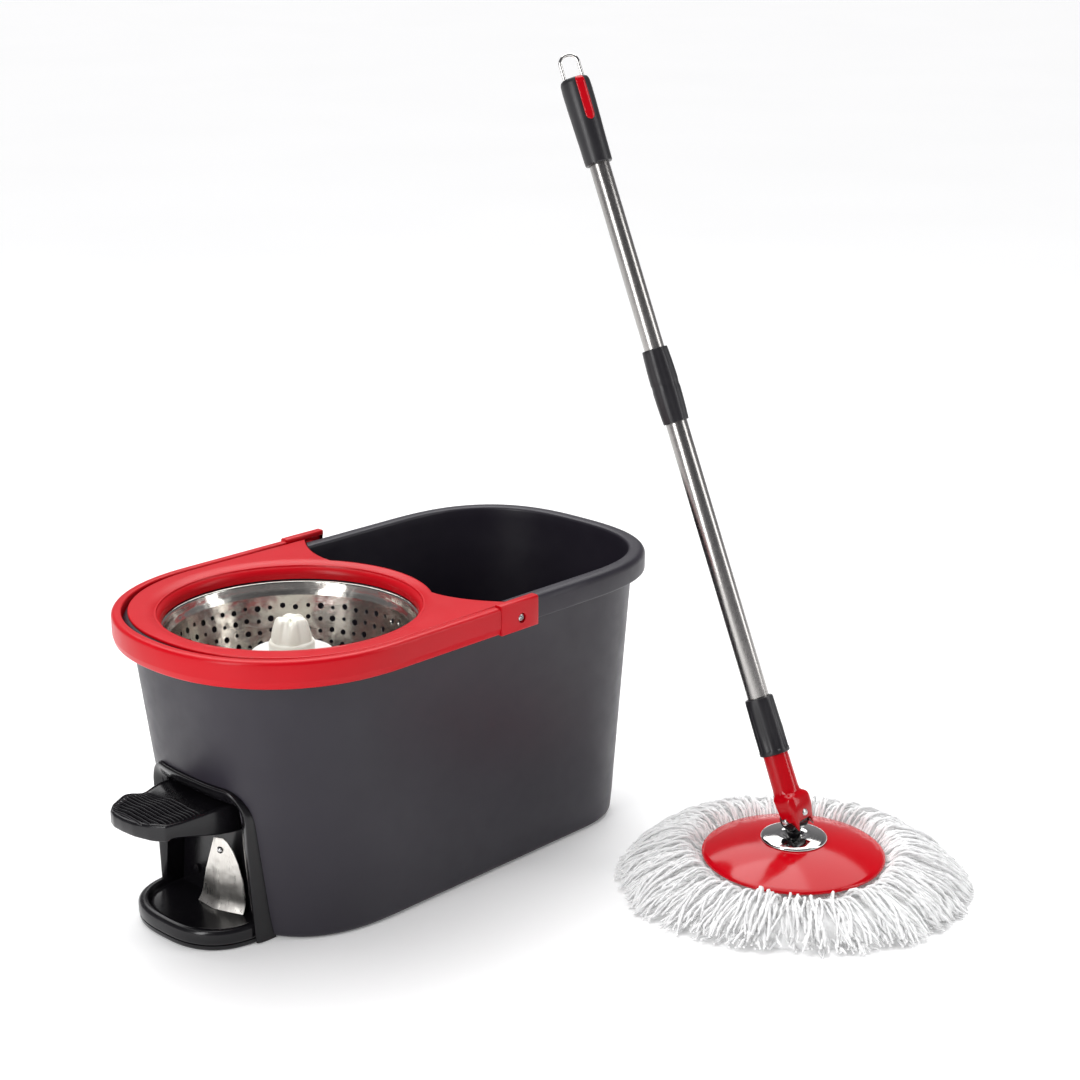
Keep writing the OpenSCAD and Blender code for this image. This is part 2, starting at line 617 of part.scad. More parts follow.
tub();
top_frame();
bail_screws();
pedal_housing();
housing_screws();
toe_guard();
guard_rivets();
pedal_pin();
return_spring();
gear_frame();
base_cover();
cover_screws();
spindle_bush_upper();
spindle_bush_lower();
layshaft_bushes();
bail();
bail_caps();
pedal();
sector_gear();
sector_rivets();
layshaft();
layshaft_pinion();
crown_wheel();
clutch_pinion();
spindle();
spindle_clip();
basket();
basket_hub();
hub_flange();
swivel_post();
post_clip();
head_plate();
bearing_cap();
head_bearing();
fringe_ring();
fringe();
yoke();
tilt_pin();
front_stud();
lower_sleeve();
sleeve_button();
lower_tube();
lock_collar();
lock_cam();
upper_tube();
grip();
grip_inlay();
hang_loop();
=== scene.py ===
"""Looks of the spin mop set: an oblong wringer bucket with a spinning basket, and a telescopic mop."""
import json
import math

import bmesh
import bpy
import numpy as np
from mathutils import Matrix, Vector


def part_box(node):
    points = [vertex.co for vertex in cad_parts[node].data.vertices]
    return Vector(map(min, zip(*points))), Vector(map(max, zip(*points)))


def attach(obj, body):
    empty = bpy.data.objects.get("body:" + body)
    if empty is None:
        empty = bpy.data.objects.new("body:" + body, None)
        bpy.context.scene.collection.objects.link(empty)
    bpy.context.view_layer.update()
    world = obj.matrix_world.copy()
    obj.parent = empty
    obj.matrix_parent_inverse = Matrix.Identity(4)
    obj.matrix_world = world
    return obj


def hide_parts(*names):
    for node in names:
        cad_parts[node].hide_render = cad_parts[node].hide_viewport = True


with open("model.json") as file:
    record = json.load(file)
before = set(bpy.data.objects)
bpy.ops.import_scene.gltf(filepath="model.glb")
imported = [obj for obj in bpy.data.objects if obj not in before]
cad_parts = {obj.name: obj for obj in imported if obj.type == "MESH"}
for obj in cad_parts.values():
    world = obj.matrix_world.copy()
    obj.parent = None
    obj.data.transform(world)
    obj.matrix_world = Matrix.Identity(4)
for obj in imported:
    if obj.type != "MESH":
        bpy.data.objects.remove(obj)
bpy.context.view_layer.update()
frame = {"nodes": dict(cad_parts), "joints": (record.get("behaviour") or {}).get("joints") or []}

MM = 0.001
TINY = 1e-9
RNG = np.random.default_rng(7)

# ---- Places from the frame, in millimetres ----


def corners(node):
    """Lowest and highest corner of a CAD node, in millimetres."""
    low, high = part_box(node)
    return np.array(low) / MM, np.array(high) / MM


def middle(node):
    low, high = corners(node)
    return (low + high) / 2


def joint_place(name):
    """A joint's point, in millimetres."""
    return np.array(next(j for j in frame["joints"] if j["name"] == name)["pos_m"]) / MM


BASKET = middle("basket")[:2]
HEAD = middle("head_plate")[:2]
BAIL_EYE = joint_place("bail_hinge")
PEDAL_HINGE = joint_place("pedal_press")
TILT = joint_place("handle_tilt")
LEAN = math.radians(23.3)
RIM_TOP = corners("tub")[1][2]

# ---- Tub sizes, as in the CAD model ----

TUB_H = 236
WALL = 3
DECK_Z = 135
WELL_X = -45
WELL_FLOOR = 4
FOOT = (-207.7, 218.7, 218.2, -93.8, 135.4, 2.7, 2.6)
BRIM = (-238.5, 243.5, 244, -110, 122, 2.6, 2.65)
RIM = (-250.5, 255.5, 267.8, -117.6, 116.5, 2.17, 2.67)
END_STEPS = 34
SIDE_STEPS = 10


def oblong(sizes, inset=0.0):
    """An outline with rounded ends: left, right, width, both ends' starts and their exponents."""
    left, right, width, start_left, start_right, bend_left, bend_right = sizes
    left, right, width = left + inset, right - inset, width - 2 * inset
    a = np.linspace(-1, 1, 2 * END_STEPS + 1) * math.pi / 2
    cos, sin = np.cos(a).clip(0), np.sin(a)

    def end(start, reach, bend, turn):
        x = start + reach * cos ** (2 / bend)
        y = turn * width / 2 * np.sign(sin) * np.abs(sin) ** (2 / bend)
        return np.column_stack([x, y])

    far = end(start_right, right - start_right, bend_right, 1)
    near = end(start_left, left - start_left, bend_left, -1)
    back = np.linspace(far[-1], near[0], SIDE_STEPS + 2)[1:-1]
    front = np.linspace(near[-1], far[0], SIDE_STEPS + 2)[1:-1]
    return np.concatenate([far, back, near, front])


def wall_outline(z, inset=0.0):
    """The tub wall's outline at height z."""
    t = min(z / TUB_H, 1)
    return (1 - t) * oblong(FOOT, inset) + t * oblong(BRIM, inset)


def left_wall_x(y, z, inset=0.0):
    """X of the tub's left end at y and height z."""
    points = wall_outline(z, inset)
    points = points[points[:, 0] < -95]
    order = np.argsort(points[:, 1])
    return np.interp(y, points[order, 1], points[order, 0])


# ---- Mesh making: each part is a list of points in millimetres and a list of faces ----


def at_height(outline, z):
    """A 2-D outline as 3-D points at height z."""
    return np.column_stack([outline, np.full(len(outline), float(z))])


def polar(r, turn, z, centre=(0, 0)):
    """Points at radius r, angle turn and height z about a vertical axis."""
    r, turn, z = np.broadcast_arrays(r, turn, z)
    return np.column_stack([centre[0] + r * np.cos(turn), centre[1] + r * np.sin(turn), z])


def unit(vectors):
    """Vectors, one in each row, made 1 long."""
    return vectors / (np.linalg.norm(vectors, axis=1)[:, None] + TINY)


def lengths(line):
    """The distance run along a line at each of its points."""
    return np.concatenate([[0], np.cumsum(np.linalg.norm(np.diff(line, axis=0), axis=1))])


def spaced(line, count):
    """Equally many points along an open line."""
    line = np.array(line, float)
    run = lengths(line)
    at = np.linspace(0, run[-1], count)
    return np.column_stack([np.interp(at, run, line[:, k]) for k in (0, 1)])


def loft(rings, closed=True, caps=True):
    """A skin over rings of equally many points, with its two ends capped."""
    n, faces = len(rings[0]), []
    for i in range(len(rings) - 1):
        for j in range(n if closed else n - 1):
            a, b = i * n + j, i * n + (j + 1) % n
            faces.append((a, b, b + n, a + n))
    if caps:
        last = (len(rings) - 1) * n
        faces += [tuple(range(n))[::-1], tuple(range(last, last + n))]
    return np.concatenate(rings), faces


def rounded(points, steps=4, closed=True):
    """A 2-D line whose corners (x, y, radius) are rounded by arcs."""
    out, n = [], len(points)
    for i, p in enumerate(points):
        radius = p[2] if len(p) > 2 else 0
        if radius == 0 or (not closed and i in (0, n - 1)):
            out.append(p[:2])
            continue
        before, corner, after = (np.array(points[k % n][:2], float) for k in (i - 1, i, i + 1))
        u, v = before - corner, after - corner
        u, v = u / np.linalg.norm(u), v / np.linalg.norm(v)
        half = math.acos(np.clip(u @ v, -1, 1)) / 2
        centre = corner + (u + v) / np.linalg.norm(u + v) * radius / math.sin(half)
        start, end = (corner + w * radius / math.tan(half) - centre for w in (u, v))
        sweep = math.pi - 2 * half
        for k in range(steps + 1):
            t = k / steps
            arc = (math.sin((1 - t) * sweep) * start + math.sin(t * sweep) * end) / math.sin(sweep)
            out.append(tuple(centre + arc))
    return np.array(out, float)


def lathe(profile, centre=(0, 0), steps=96, closed=True):
    """A body of revolution about a vertical axis, from points of radius and height."""
    r, z = np.array(profile, float).T
    rings = [polar(r, a, z, centre) for a in np.arange(steps) * math.tau / steps]
    return loft(rings + rings[:1], closed, False)


def fluted(profile, depth, count, where):
    """A body of revolution with flutes in the part of its profile that where marks."""
    r, z = np.array(profile, float).T
    rings = []
    for a in np.arange(96) * math.tau / 96:
        flute = depth * (0.5 + 0.5 * math.cos(count * a)) ** 2
        rings.append(polar(r - flute * where(r, z), a, z))
    return loft(rings + rings[:1], True, False)


def offset(outline, distance):
    """A closed 2-D outline moved outward by distance along its corners' bisectors."""
    u = unit(outline - np.roll(outline, 1, 0))
    v = unit(np.roll(outline, -1, 0) - outline)
    normal = unit(np.column_stack([u[:, 1] + v[:, 1], -u[:, 0] - v[:, 0]]))
    stretch = 1 / np.clip((normal * np.column_stack([u[:, 1], -u[:, 0]])).sum(1), 0.5, 1)
    return outline + normal * (distance * stretch)[:, None]


def slab(outline, low, high, edge):
    """A plate over an anticlockwise outline, with rounded edges."""
    angles = np.linspace(0, math.pi / 2, 4)
    bend = [(-edge * (1 - math.sin(a)), edge * (1 - math.cos(a))) for a in angles]
    rings = [at_height(offset(outline, i), low + z) for i, z in bend]
    return loft(rings + [at_height(offset(outline, i), high - z) for i, z in bend[::-1]])


def moved(part, matrix):
    """A part under a 4 by 4 matrix."""
    points = np.column_stack([part[0], np.ones(len(part[0]))]) @ np.array(matrix).T
    return points[:, :3], part[1]


def shift(x=0, y=0, z=0):
    return Matrix.Translation((x, y, z))


def turned(degrees, axis):
    return Matrix.Rotation(math.radians(degrees), 4, axis)


ALONG_Y = turned(90, "X")          # a slab's height turned to point along -Y, its own Y up
ALONG_X = turned(90, "Z") @ turned(90, "X")   # a slab's height turned to point along +X
HANDLE = shift(*TILT) @ turned(math.degrees(-LEAN), "X")


def mirrored(part):
    """A part's mirror image across the plane through X and Z."""
    return part[0] * np.array([1, -1, 1]), [face[::-1] for face in part[1]]


def both_sides(*parts):
    return list(parts) + [mirrored(part) for part in parts]


def linked(name, data):
    """A new object in the scene."""
    ob = bpy.data.objects.new(name, data)
    bpy.context.scene.collection.objects.link(ob)
    return ob


def make_mesh(name, parts):
    """One mesh from several parts, in metres, with clean outward faces."""
    points, faces, start = [], [], 0
    for part_points, part_faces in parts:
        points.append(np.asarray(part_points) * MM)
        faces += [tuple(start + i for i in face) for face in part_faces]
        start += len(part_points)
    mesh = bpy.data.meshes.new(name)
    mesh.from_pydata(np.concatenate(points).tolist(), [], faces)
    bm = bmesh.new()
    bm.from_mesh(mesh)
    bmesh.ops.remove_doubles(bm, verts=bm.verts, dist=1e-6)
    bmesh.ops.dissolve_degenerate(bm, edges=bm.edges, dist=1e-7)
    bmesh.ops.recalc_face_normals(bm, faces=bm.faces)
    bm.to_mesh(mesh)
    bm.free()
    return mesh


def carved(ob, cuts):
    """Cuts closed parts out of an object's mesh."""
    tools = [linked(f"{ob.name}_cut", make_mesh(f"{ob.name}_cut", [cut])) for cut in cuts]
    for tool in tools:
        carve = ob.modifiers.new("cut", "BOOLEAN")
        carve.object, carve.operation, carve.solver = tool, "DIFFERENCE", "EXACT"
    graph = bpy.context.evaluated_depsgraph_get()
    mesh = bpy.data.meshes.new_from_object(ob.evaluated_get(graph))
    ob.modifiers.clear()
    ob.data = mesh
    for tool in tools:
        bpy.data.objects.remove(tool)


def piece(name, parts, body, slot, look, *nodes, crease=38, cuts=()):
    """A finished piece from parts, which rides on a body and stands for CAD nodes."""
    ob = linked(name, make_mesh(name, parts))
    if cuts:
        carved(ob, cuts)
    ob.data.polygons.foreach_set("use_smooth", [True] * len(ob.data.polygons))
    ob.data.set_sharp_from_angle(angle=math.radians(crease))
    ob.data.materials.clear()
    ob.data.materials.append(look)
    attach(ob, body)
    if nodes:
        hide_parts(*nodes)


# ---- Materials ----


class Look:
    """A Principled material whose nodes are added step by step."""

    def __init__(self, name, **sockets):
        self.material = bpy.data.materials.new(name)
        self.material.use_nodes = True
        self.nodes, self.links = self.material.node_tree.nodes, self.material.node_tree.links
        self.shader = self.nodes["Principled BSDF"]
        for key, value in sockets.items():
            self.shader.inputs[key.replace("_", " ")].default_value = value
        self.place = self.nodes.new("ShaderNodeTexCoord").outputs["Object"]
        self.height = None

    def stretched(self, scale):
        """The place with each axis scaled."""
        mapping = self.nodes.new("ShaderNodeMapping")
        mapping.inputs["Scale"].default_value = scale
        self.links.new(self.place, mapping.inputs["Vector"])
        return mapping.outputs["Vector"]

    def noise(self, scale, detail=3, place=None):
        node = self.nodes.new("ShaderNodeTexNoise")
        node.inputs["Scale"].default_value = scale
        node.inputs["Detail"].default_value = detail
        self.links.new(place or self.place, node.inputs["Vector"])
        return node.outputs["Fac"]

    def colours(self, value, *stops):
        """A colour ramp over value: each stop is a place and a colour."""
        node = self.nodes.new("ShaderNodeValToRGB")
        ramp = node.color_ramp.elements
        while len(ramp) < len(stops):
            ramp.new(0.5)
        for element, (place, colour) in zip(ramp, stops):
            element.position, element.color = place, (*colour, 1)
        self.links.new(value, node.inputs["Fac"])
        self.links.new(node.outputs["Color"], self.shader.inputs["Base Color"])

    def rough(self, value, low, high):
        """Roughness from low to high over the middle of value's range."""
        node = self.nodes.new("ShaderNodeMapRange")
        for key, number in (("From Min", 0.3), ("From Max", 0.7), ("To Min", low), ("To Max", high)):
            node.inputs[key].default_value = number
        self.links.new(value, node.inputs["Value"])
        self.links.new(node.outputs["Result"], self.shader.inputs["Roughness"])

    def bump(self, value, depth, strength=1.0):
        """Adds relief of the given depth in metres."""
        node = self.nodes.new("ShaderNodeBump")
        node.inputs["Distance"].default_value = depth
        node.inputs["Strength"].default_value = strength
        self.links.new(value, node.inputs["Height"])
        if self.height:
            self.links.new(self.height, node.inputs["Normal"])
        self.height = node.outputs["Normal"]
        self.links.new(self.height, self.shader.inputs["Normal"])


def moulded(name, dark, light, low, high, grain=900, relief=0.00004, shine=0.5):
    """Injection-moulded plastic: a faint drift of colour and gloss, and a fine grain if it has relief."""
    look = Look(name, Specular_IOR_Level=shine)
    look.colours(look.noise(9, 4), (0.3, dark), (0.7, light))
    look.rough(look.noise(60, 5), low, high)
    if relief:
        look.bump(look.noise(grain, 2), relief)
    return look.material


def steel(name, colour, low, high, brush=(700, 700, 700), relief=0.00002, swirl=0.0):
    """Stainless steel: brush is the fineness of its grain, and swirl the depth of pressed dents."""
    look = Look(name, Metallic=1.0)
    grain = look.noise(1.0, 6, look.stretched(brush))
    look.colours(grain, (0.25, tuple(0.86 * c for c in colour)), (0.75, colour))
    look.rough(grain, low, high)
    if relief:
        look.bump(grain, relief)
    if swirl:
        look.bump(look.noise(75, 1), swirl)
    return look.material


def fibre(name):
    """White microfibre yarn: sheen, a fuzzy surface, slightly grey patches and a faint glow that is painted
    light, lifting the shade between strands.
    """
    # The emission is painted light: the yarn glows a little so that its shaded gaps read white.
    look = Look(name, Roughness=0.9, Sheen_Weight=0.5, Sheen_Roughness=0.5, Specular_IOR_Level=0.2,
                Emission_Color=(1, 1, 1, 1), Emission_Strength=0.07)
    look.colours(look.noise(220, 4), (0.25, (0.92, 0.92, 0.92)), (0.6, (0.98, 0.98, 0.98)))
    look.bump(look.noise(2600, 3), 0.0004, 0.8)
    return look.material


TUB_GREY = moulded("tub_grey", (0.0170, 0.0142, 0.0220), (0.0220, 0.0188, 0.0280), 0.36, 0.46,
                   1500, 0.00003, 0.38)
RED = moulded("red_plastic", (0.50, 0.001, 0.006), (0.57, 0.002, 0.010), 0.28, 0.34, relief=0, shine=0.22)
RED_GLOSS = moulded("red_dome", (0.49, 0.001, 0.006), (0.55, 0.002, 0.009), 0.10, 0.15, relief=0, shine=0.3)
BLACK = moulded("black_plastic", (0.004, 0.0036, 0.0048), (0.007, 0.0064, 0.008), 0.19, 0.25,
                relief=0, shine=0.38)
CHARCOAL = moulded("charcoal_sleeve", (0.011, 0.010, 0.013), (0.016, 0.015, 0.018), 0.34, 0.44, 1600)
CREAM = moulded("cream_nylon", (0.86, 0.86, 0.76), (0.92, 0.92, 0.84), 0.30, 0.42, relief=0.00002)
PALE = moulded("pale_disc", (0.66, 0.66, 0.65), (0.76, 0.76, 0.75), 0.28, 0.40, relief=0.00002)
GEAR_WHITE = moulded("gear_nylon", (0.72, 0.71, 0.66), (0.82, 0.81, 0.77), 0.35, 0.5, relief=0.00002)
FRAME_BLACK = moulded("frame_nylon", (0.020, 0.020, 0.021), (0.032, 0.032, 0.034), 0.45, 0.6,
                      relief=0.00005)
BASKET_STEEL = steel("basket_steel", (0.58, 0.56, 0.52), 0.14, 0.24, (300, 300, 1500), 0.000006, 0.0006)
MIRROR = steel("mirror_steel", (0.80, 0.79, 0.77), 0.05, 0.11)
PRESSED = steel("pressed_steel", (0.84, 0.81, 0.76), 0.26, 0.33, (500, 500, 60), 0.000002, 0.0006)
TUBE_STEEL = steel("tube_steel", (0.47, 0.455, 0.44), 0.25, 0.29, (500, 500, 3), 0)
SCREW_STEEL = steel("screw_steel", (0.62, 0.62, 0.62), 0.2, 0.34)
BRONZE = steel("bush_bronze", (0.55, 0.36, 0.16), 0.3, 0.45)
YARN = fibre("microfibre")


def dress(look, *nodes):
    """Gives carried-over CAD nodes a material."""
    for node in nodes:
        mesh = frame["nodes"][node].data
        mesh.materials.clear()
        mesh.materials.append(look)
        mesh.set_sharp_from_angle(angle=math.radians(30))


# ---- Tub ----


def clipped(outline, x):
    """An outline whose points left of x are moved onto x."""
    out = outline.copy()
    out[:, 0] = np.maximum(out[:, 0], x)
    return out


def tub_parts():
    foot, roll, inner_roll = 6, 6.5, 3
    bend = [(1 - math.sin(a), 1 - math.cos(a)) for a in np.linspace(0, math.pi / 2, 6)]
    rings = [at_height(wall_outline(0, foot * i), foot * z) for i, z in bend]
    rings += [at_height(wall_outline(z), z) for z in np.linspace(20, 234, 12)]
    rings += [at_height(oblong(BRIM), z) for z in (TUB_H, 250.5)]
    lip = [(2.9, 252.5), (3, 238), (2.6, 236.6), (1.8, 236), (0.9, 236.1), (0.2, 236.8), (0, 238)]
    rings += [at_height(oblong(BRIM, -3), 252.5)] + [at_height(oblong(RIM, i), z) for i, z in lip]
    rings += [at_height(oblong(RIM, roll * z), RIM_TOP - roll * i) for i, z in bend]
    rings += [at_height(oblong(BRIM, WALL - inner_roll * i), RIM_TOP - inner_roll * z) for i, z in bend]
    rings += [at_height(wall_outline(z, WALL), z) for z in np.linspace(246, 141, 9)]
    for inset, z in ((0.5, 3), (1.8, 0.9), (5, 0)):
        rings.append(at_height(wall_outline(DECK_Z, WALL + inset), DECK_Z + z))
    for inset, over, z in ((5, 4, 0), (4, 2.6, -0.3), (3.4, 1, -1.4), (3, 0, -4)):
        rings.append(at_height(clipped(wall_outline(DECK_Z, inset), WELL_X - over), DECK_Z + z))
    for inset, z in ((0, 90), (0, 50), (0, 14), (0.6, 9), (2.4, 5.6), (6, WELL_FLOOR)):
        rings.append(at_height(clipped(wall_outline(z, WALL + inset), WELL_X + inset), z))
    return loft(rings)


def chamber():
    """The dry space under the deck, open to below."""
    rings = []
    for z in np.linspace(-1, DECK_Z - WALL, 4):
        outline = wall_outline(max(z, 0), WALL + (5 if z < 0 else 0))
        outline[:, 0] = np.minimum(outline[:, 0], WELL_X - WALL)
        rings.append(at_height(outline, z))
    return loft(rings)


def half_prism(half, x0, x1):
    """A prism along X over a half outline of Y and Z points and its mirror image."""
    full = np.array(list(half) + [(-y, z) for y, z in half[::-1]], float)
    return loft([np.column_stack([np.full(len(full), x), full]) for x in (x0, x1)])


RECESS = [(63, -1), (52.8, 92), (51.6, 125.5)]
RECESS_BACK = -192.5


def deck_boss():
    """The spindle's tower on the deck."""
    low, high, bore = DECK_Z - WALL + 0.5, corners("spindle_bush_upper")[1][2] + 1, 9
    profile = [(bore, low), (24, low), (19, DECK_Z + 0.6, 2), (14, DECK_Z + 5, 4), (14, high, 2)]
    return lathe(rounded(profile + [(bore, high)]), BASKET)


piece("tub_shell", [tub_parts()], "bucket", "tub_plastic", TUB_GREY, "tub",
      cuts=(chamber(), half_prism(RECESS, -270, RECESS_BACK)))
piece("deck_boss", [deck_boss()], "bucket", "tub_plastic", TUB_GREY)


# ---- Red frame round the basket, bail and its caps ----

FRAME_THICK = 2.5
FRAME_TOP = corners("top_frame")[1][2]
FRAME_LOW = FRAME_TOP - FRAME_THICK
FRAME_EDGE = (-245, 0, 266.4, -114, -1, 2.17, 2)
WEB_R = 121.5
LIP_R, LIP_WIDTH, LIP_RISE, LIP_DROP = 124, 16, 10, 11.5
WING_Y = (66, 130.6)
WING_X = (-12, 14)


def frame_outline():
    """The plate's edge: a concave side between two wings, and the tub's round left end."""
    rise = np.linspace(0, 1, 22)
    wing = np.column_stack([WING_X[0] + (WING_X[1] - WING_X[0]) * rise ** 2,
                            WING_Y[0] + (WING_Y[1] - WING_Y[0]) * rise])
    a = np.linspace(-0.57, 0.57, 26)[1:-1]
    ring = np.column_stack([BASKET[0] + WEB_R * np.cos(a), WEB_R * np.sin(a)])
    left = oblong(FRAME_EDGE)
    left = left[left[:, 0] < -60]
    sides = np.linspace((WING_X[1] - 1.5, WING_Y[1] + 1.6), left[0], 16)[:-1]
    return np.concatenate([ring, wing, sides, left, (sides * [1, -1])[::-1], (wing * [1, -1])[::-1]])


def frame_parts():
    """A skin of radial sections: rolled lip, plate, its rounded edge and the underside."""
    edge = frame_outline()
    reach = np.hypot(edge[:, 0] - BASKET[0], edge[:, 1])[:, None]
    centre = np.array([BASKET[0], 0])
    away = (edge - centre) / reach
    inner_r = LIP_R - LIP_WIDTH
    lip = [(inner_r, FRAME_LOW - LIP_DROP), (inner_r, FRAME_LOW - LIP_DROP + 3)]
    lip += [(LIP_R - LIP_WIDTH * math.cos(a), FRAME_TOP - LIP_RISE + LIP_RISE * math.sin(a))
            for a in np.linspace(0, 1.57, 14)]
    plate = [(LIP_R + 2, FRAME_TOP), (LIP_R + 6, FRAME_TOP), (400, FRAME_TOP)]
    rings = [at_height(centre + away * np.minimum(r, reach - 1.2), z) for r, z in lip + plate]
    inward = edge - offset(edge, -1)
    for depth, z in ((1.2, 0), (0.6, -0.15), (0.15, -0.6), (0, -1.2), (0.2, -2.3), (0.8, -FRAME_THICK)):
        rings.append(at_height(edge - inward * depth, FRAME_TOP + z))
    for r, drop in ((112, 0), (111.5, 1), (110, 10.8), (109.4, LIP_DROP)):
        rings.append(at_height(centre + away * np.minimum(r, reach - 1), FRAME_LOW - drop))
    return loft(rings + rings[:1], True, False)


def along(path, section):
    """A band along an open 2-D path: section gives points of outward offset and height."""
    step = np.gradient(path, axis=0)
    normal = unit(np.column_stack([step[:, 1], -step[:, 0]]))
    return loft([np.array([[*(p + n * s[0]), s[1]] for s in section]) for p, n in zip(path, normal)])


BAIL_LOW, BAIL_HIGH = corners("bail")[0][2], corners("bail")[1][2]
BAIL_END = -6
CAP_LOW, CAP_HIGH = corners("bail_caps")


def bail_parts():
    """The band round the rim's end, with a joining strip and an eye at each of its ends."""
    path = oblong(RIM, -0.6)
    path = path[path[:, 0] < BAIL_END - 1]
    path = np.concatenate([[[BAIL_END, path[0][1]]], path, [[BAIL_END, path[-1][1]]]])
    section = rounded([(0, BAIL_LOW, 1), (6.8, BAIL_LOW, 2), (8.4, BAIL_LOW + 6, 4), (8.5, BAIL_HIGH, 3.4),
                       (0, BAIL_HIGH, 1.4)])
    eye = rounded([(-7, -9, 1), (12, -9.3, 6), (12, 9.3, 6), (-7, 9, 1)])
    eye = np.array([(x if x < 0 else x * 0.8, z) for x, z in eye])
    strip = rounded([(-32, -8.5, 1), (0, -8.5, 1), (0, 9, 1), (-32, 9, 1)])
    tab = moved(slab(eye, 0, 4.6, 0.8), shift(BAIL_EYE[0], -134.6, BAIL_EYE[2]) @ ALONG_Y)
    join = moved(slab(strip, 0, 4.4, 0.6), shift(BAIL_EYE[0], -134.7, BAIL_EYE[2]) @ ALONG_Y)
    return [along(path, section)] + both_sides(tab, join)


def cap_parts():
    """A folded cap over each end of the band."""
    (x0, _, low), (x1, far, high) = CAP_LOW, CAP_HIGH
    outer, skin, inner = -far, -139.3, -134.9
    section = rounded([(outer, low, 0.8), (skin, low, 0.5), (skin, high - 4.5), (inner, high - 4.5, 0.5),
                       (inner, high, 1.4), (outer, high, 2.2)])
    return both_sides(moved(slab(section, x0, x1, 0.7), ALONG_X))


def disc_cut(x, z, radius, y0, y1):
    """A disc along Y, to cut a round hole."""
    a = np.arange(32) * math.tau / 32
    return loft([np.column_stack([x + radius * np.cos(a), np.full(32, y), z + radius * np.sin(a)])
                 for y in (y0, y1)])


piece("red_frame", [frame_parts()], "bucket", "red_gloss", RED, "top_frame")
piece("bail_band", bail_parts(), "bail", "red_gloss", RED, "bail")
CAP_HOLES = [disc_cut(BAIL_EYE[0], BAIL_EYE[2], 4.4, *span) for span in ((-150, -139), (139, 150))]
piece("hinge_caps", cap_parts(), "bail", "red_gloss", RED, "bail_caps", cuts=CAP_HOLES)


SCREW_PLACE = shift(BAIL_EYE[0], -139.2, BAIL_EYE[2]) @ ALONG_Y


def screw_parts():
    """A domed screw on each side of the rim."""
    head = lathe([(0, 4.1), (1.6, 3.9), (3, 3.2), (3.9, 2), (4, 1.2), (4, 0), (0, 0)], steps=40, closed=False)
    stem = lathe([(0, 0.5), (3, 0.5), (3, -17), (0, -17)], steps=32, closed=False)
    return both_sides(moved(head, SCREW_PLACE), moved(stem, SCREW_PLACE))


def cross_cuts():
    """The cross-shaped recess of each screw."""
    bar = slab(np.array([(-2.6, -0.55), (2.6, -0.55), (2.6, 0.55), (-2.6, 0.55)]), 2.4, 6, 0)
    return both_sides(*[moved(bar, SCREW_PLACE @ turned(turn, "Z")) for turn in (20, 110)])


piece("hinge_screws", screw_parts(), "bucket", "steel", SCREW_STEEL, "bail_screws", cuts=cross_cuts())


# ---- Pedal housing, guard and pedal ----

ARCH_Y, ARCH_TOP = 64, 135.5
ARCH_ROUND = (24, 28.5)
CAVITY_TOP = 121
CAVITY = [(59.6, 12), (49.2, 92, 14), (47.6, CAVITY_TOP, 9), (0, CAVITY_TOP)]
CAVITY_BACK = -196
LEG_STEPS, CORNER_STEPS, TOP_STEPS = 17, 20, 13
TRAY_X, TRAY_REACH, TRAY_HALF, TRAY_BACK = -200, 61, 65, -193.3
TRAY_SHIFT, TRAY_FLOOR, TRAY_RIM = 4, 12, 9


def housing_x(y, z):
    """X of the housing's front: the tub's plan, but nearly upright."""
    return left_wall_x(y, 100 + (ARCH_TOP - 100) * min(z / ARCH_TOP, 1), -3.4)


def in_step(line, first, last):
    """A half outline in equal counts of points: its leg, its corner and its top."""
    return np.concatenate([spaced(line[:first + 1], LEG_STEPS)[:-1],
                           spaced(line[first:last + 1], CORNER_STEPS)[:-1], spaced(line[last:], TOP_STEPS)])


def housing_parts():
    """The arch: from the tub's wall over a rounded shoulder and front into the cavity."""
    a = np.linspace(0, math.pi / 2, 16)
    shoulder = np.column_stack([ARCH_Y - ARCH_ROUND[0] * (1 - np.cos(a)),
                                ARCH_TOP - ARCH_ROUND[1] * (1 - np.sin(a))])
    outer = in_step(np.concatenate([[[ARCH_Y, 0]], shoulder, [[0, ARCH_TOP]]]), 1, 16)
    inner = rounded(CAVITY, 8, False)
    inner = in_step(inner, np.argmax(inner[:, 1] > 104), len(inner) - 2)
    both = [np.concatenate([line * [-1, 1], line[::-1][1:]]) for line in (outer, inner)]
    sections = []
    for (oy, oz), (iy, iz) in zip(*both):
        middle_y, middle_z = oy + (iy - oy) * 0.16, oz + (iz - oz) * 0.16
        foot_x, front_x = left_wall_x(oy, oz, 0.4), housing_x(middle_y, middle_z)
        section = [(foot_x + 2, oy, oz)]
        for phi in np.linspace(0, math.pi / 2, 9):
            mix, push = (1 - math.cos(phi)) ** 1.1, math.sin(phi) ** 0.75
            section.append((foot_x + (front_x - foot_x) * push,
                            oy + (middle_y - oy) * mix, oz + (middle_z - oz) * mix))
        deep = 1.5 + 5.5 * (max(iz, 0) / CAVITY_TOP) ** 2
        for t, x in ((0.2, 0.1), (0.5, 0.35), (0.8, 0.7), (1, 1)):
            section.append((front_x + x * deep, middle_y + (iy - middle_y) * t, middle_z + (iz - middle_z) * t))
        section += [(CAVITY_BACK - 6, iy, iz), (CAVITY_BACK + 3, iy, iz)]
        section.append((CAVITY_BACK + 3, iy * 1.04, min(iz + 2.5, 124)))
        sections.append(np.array(section))
    return loft(sections)


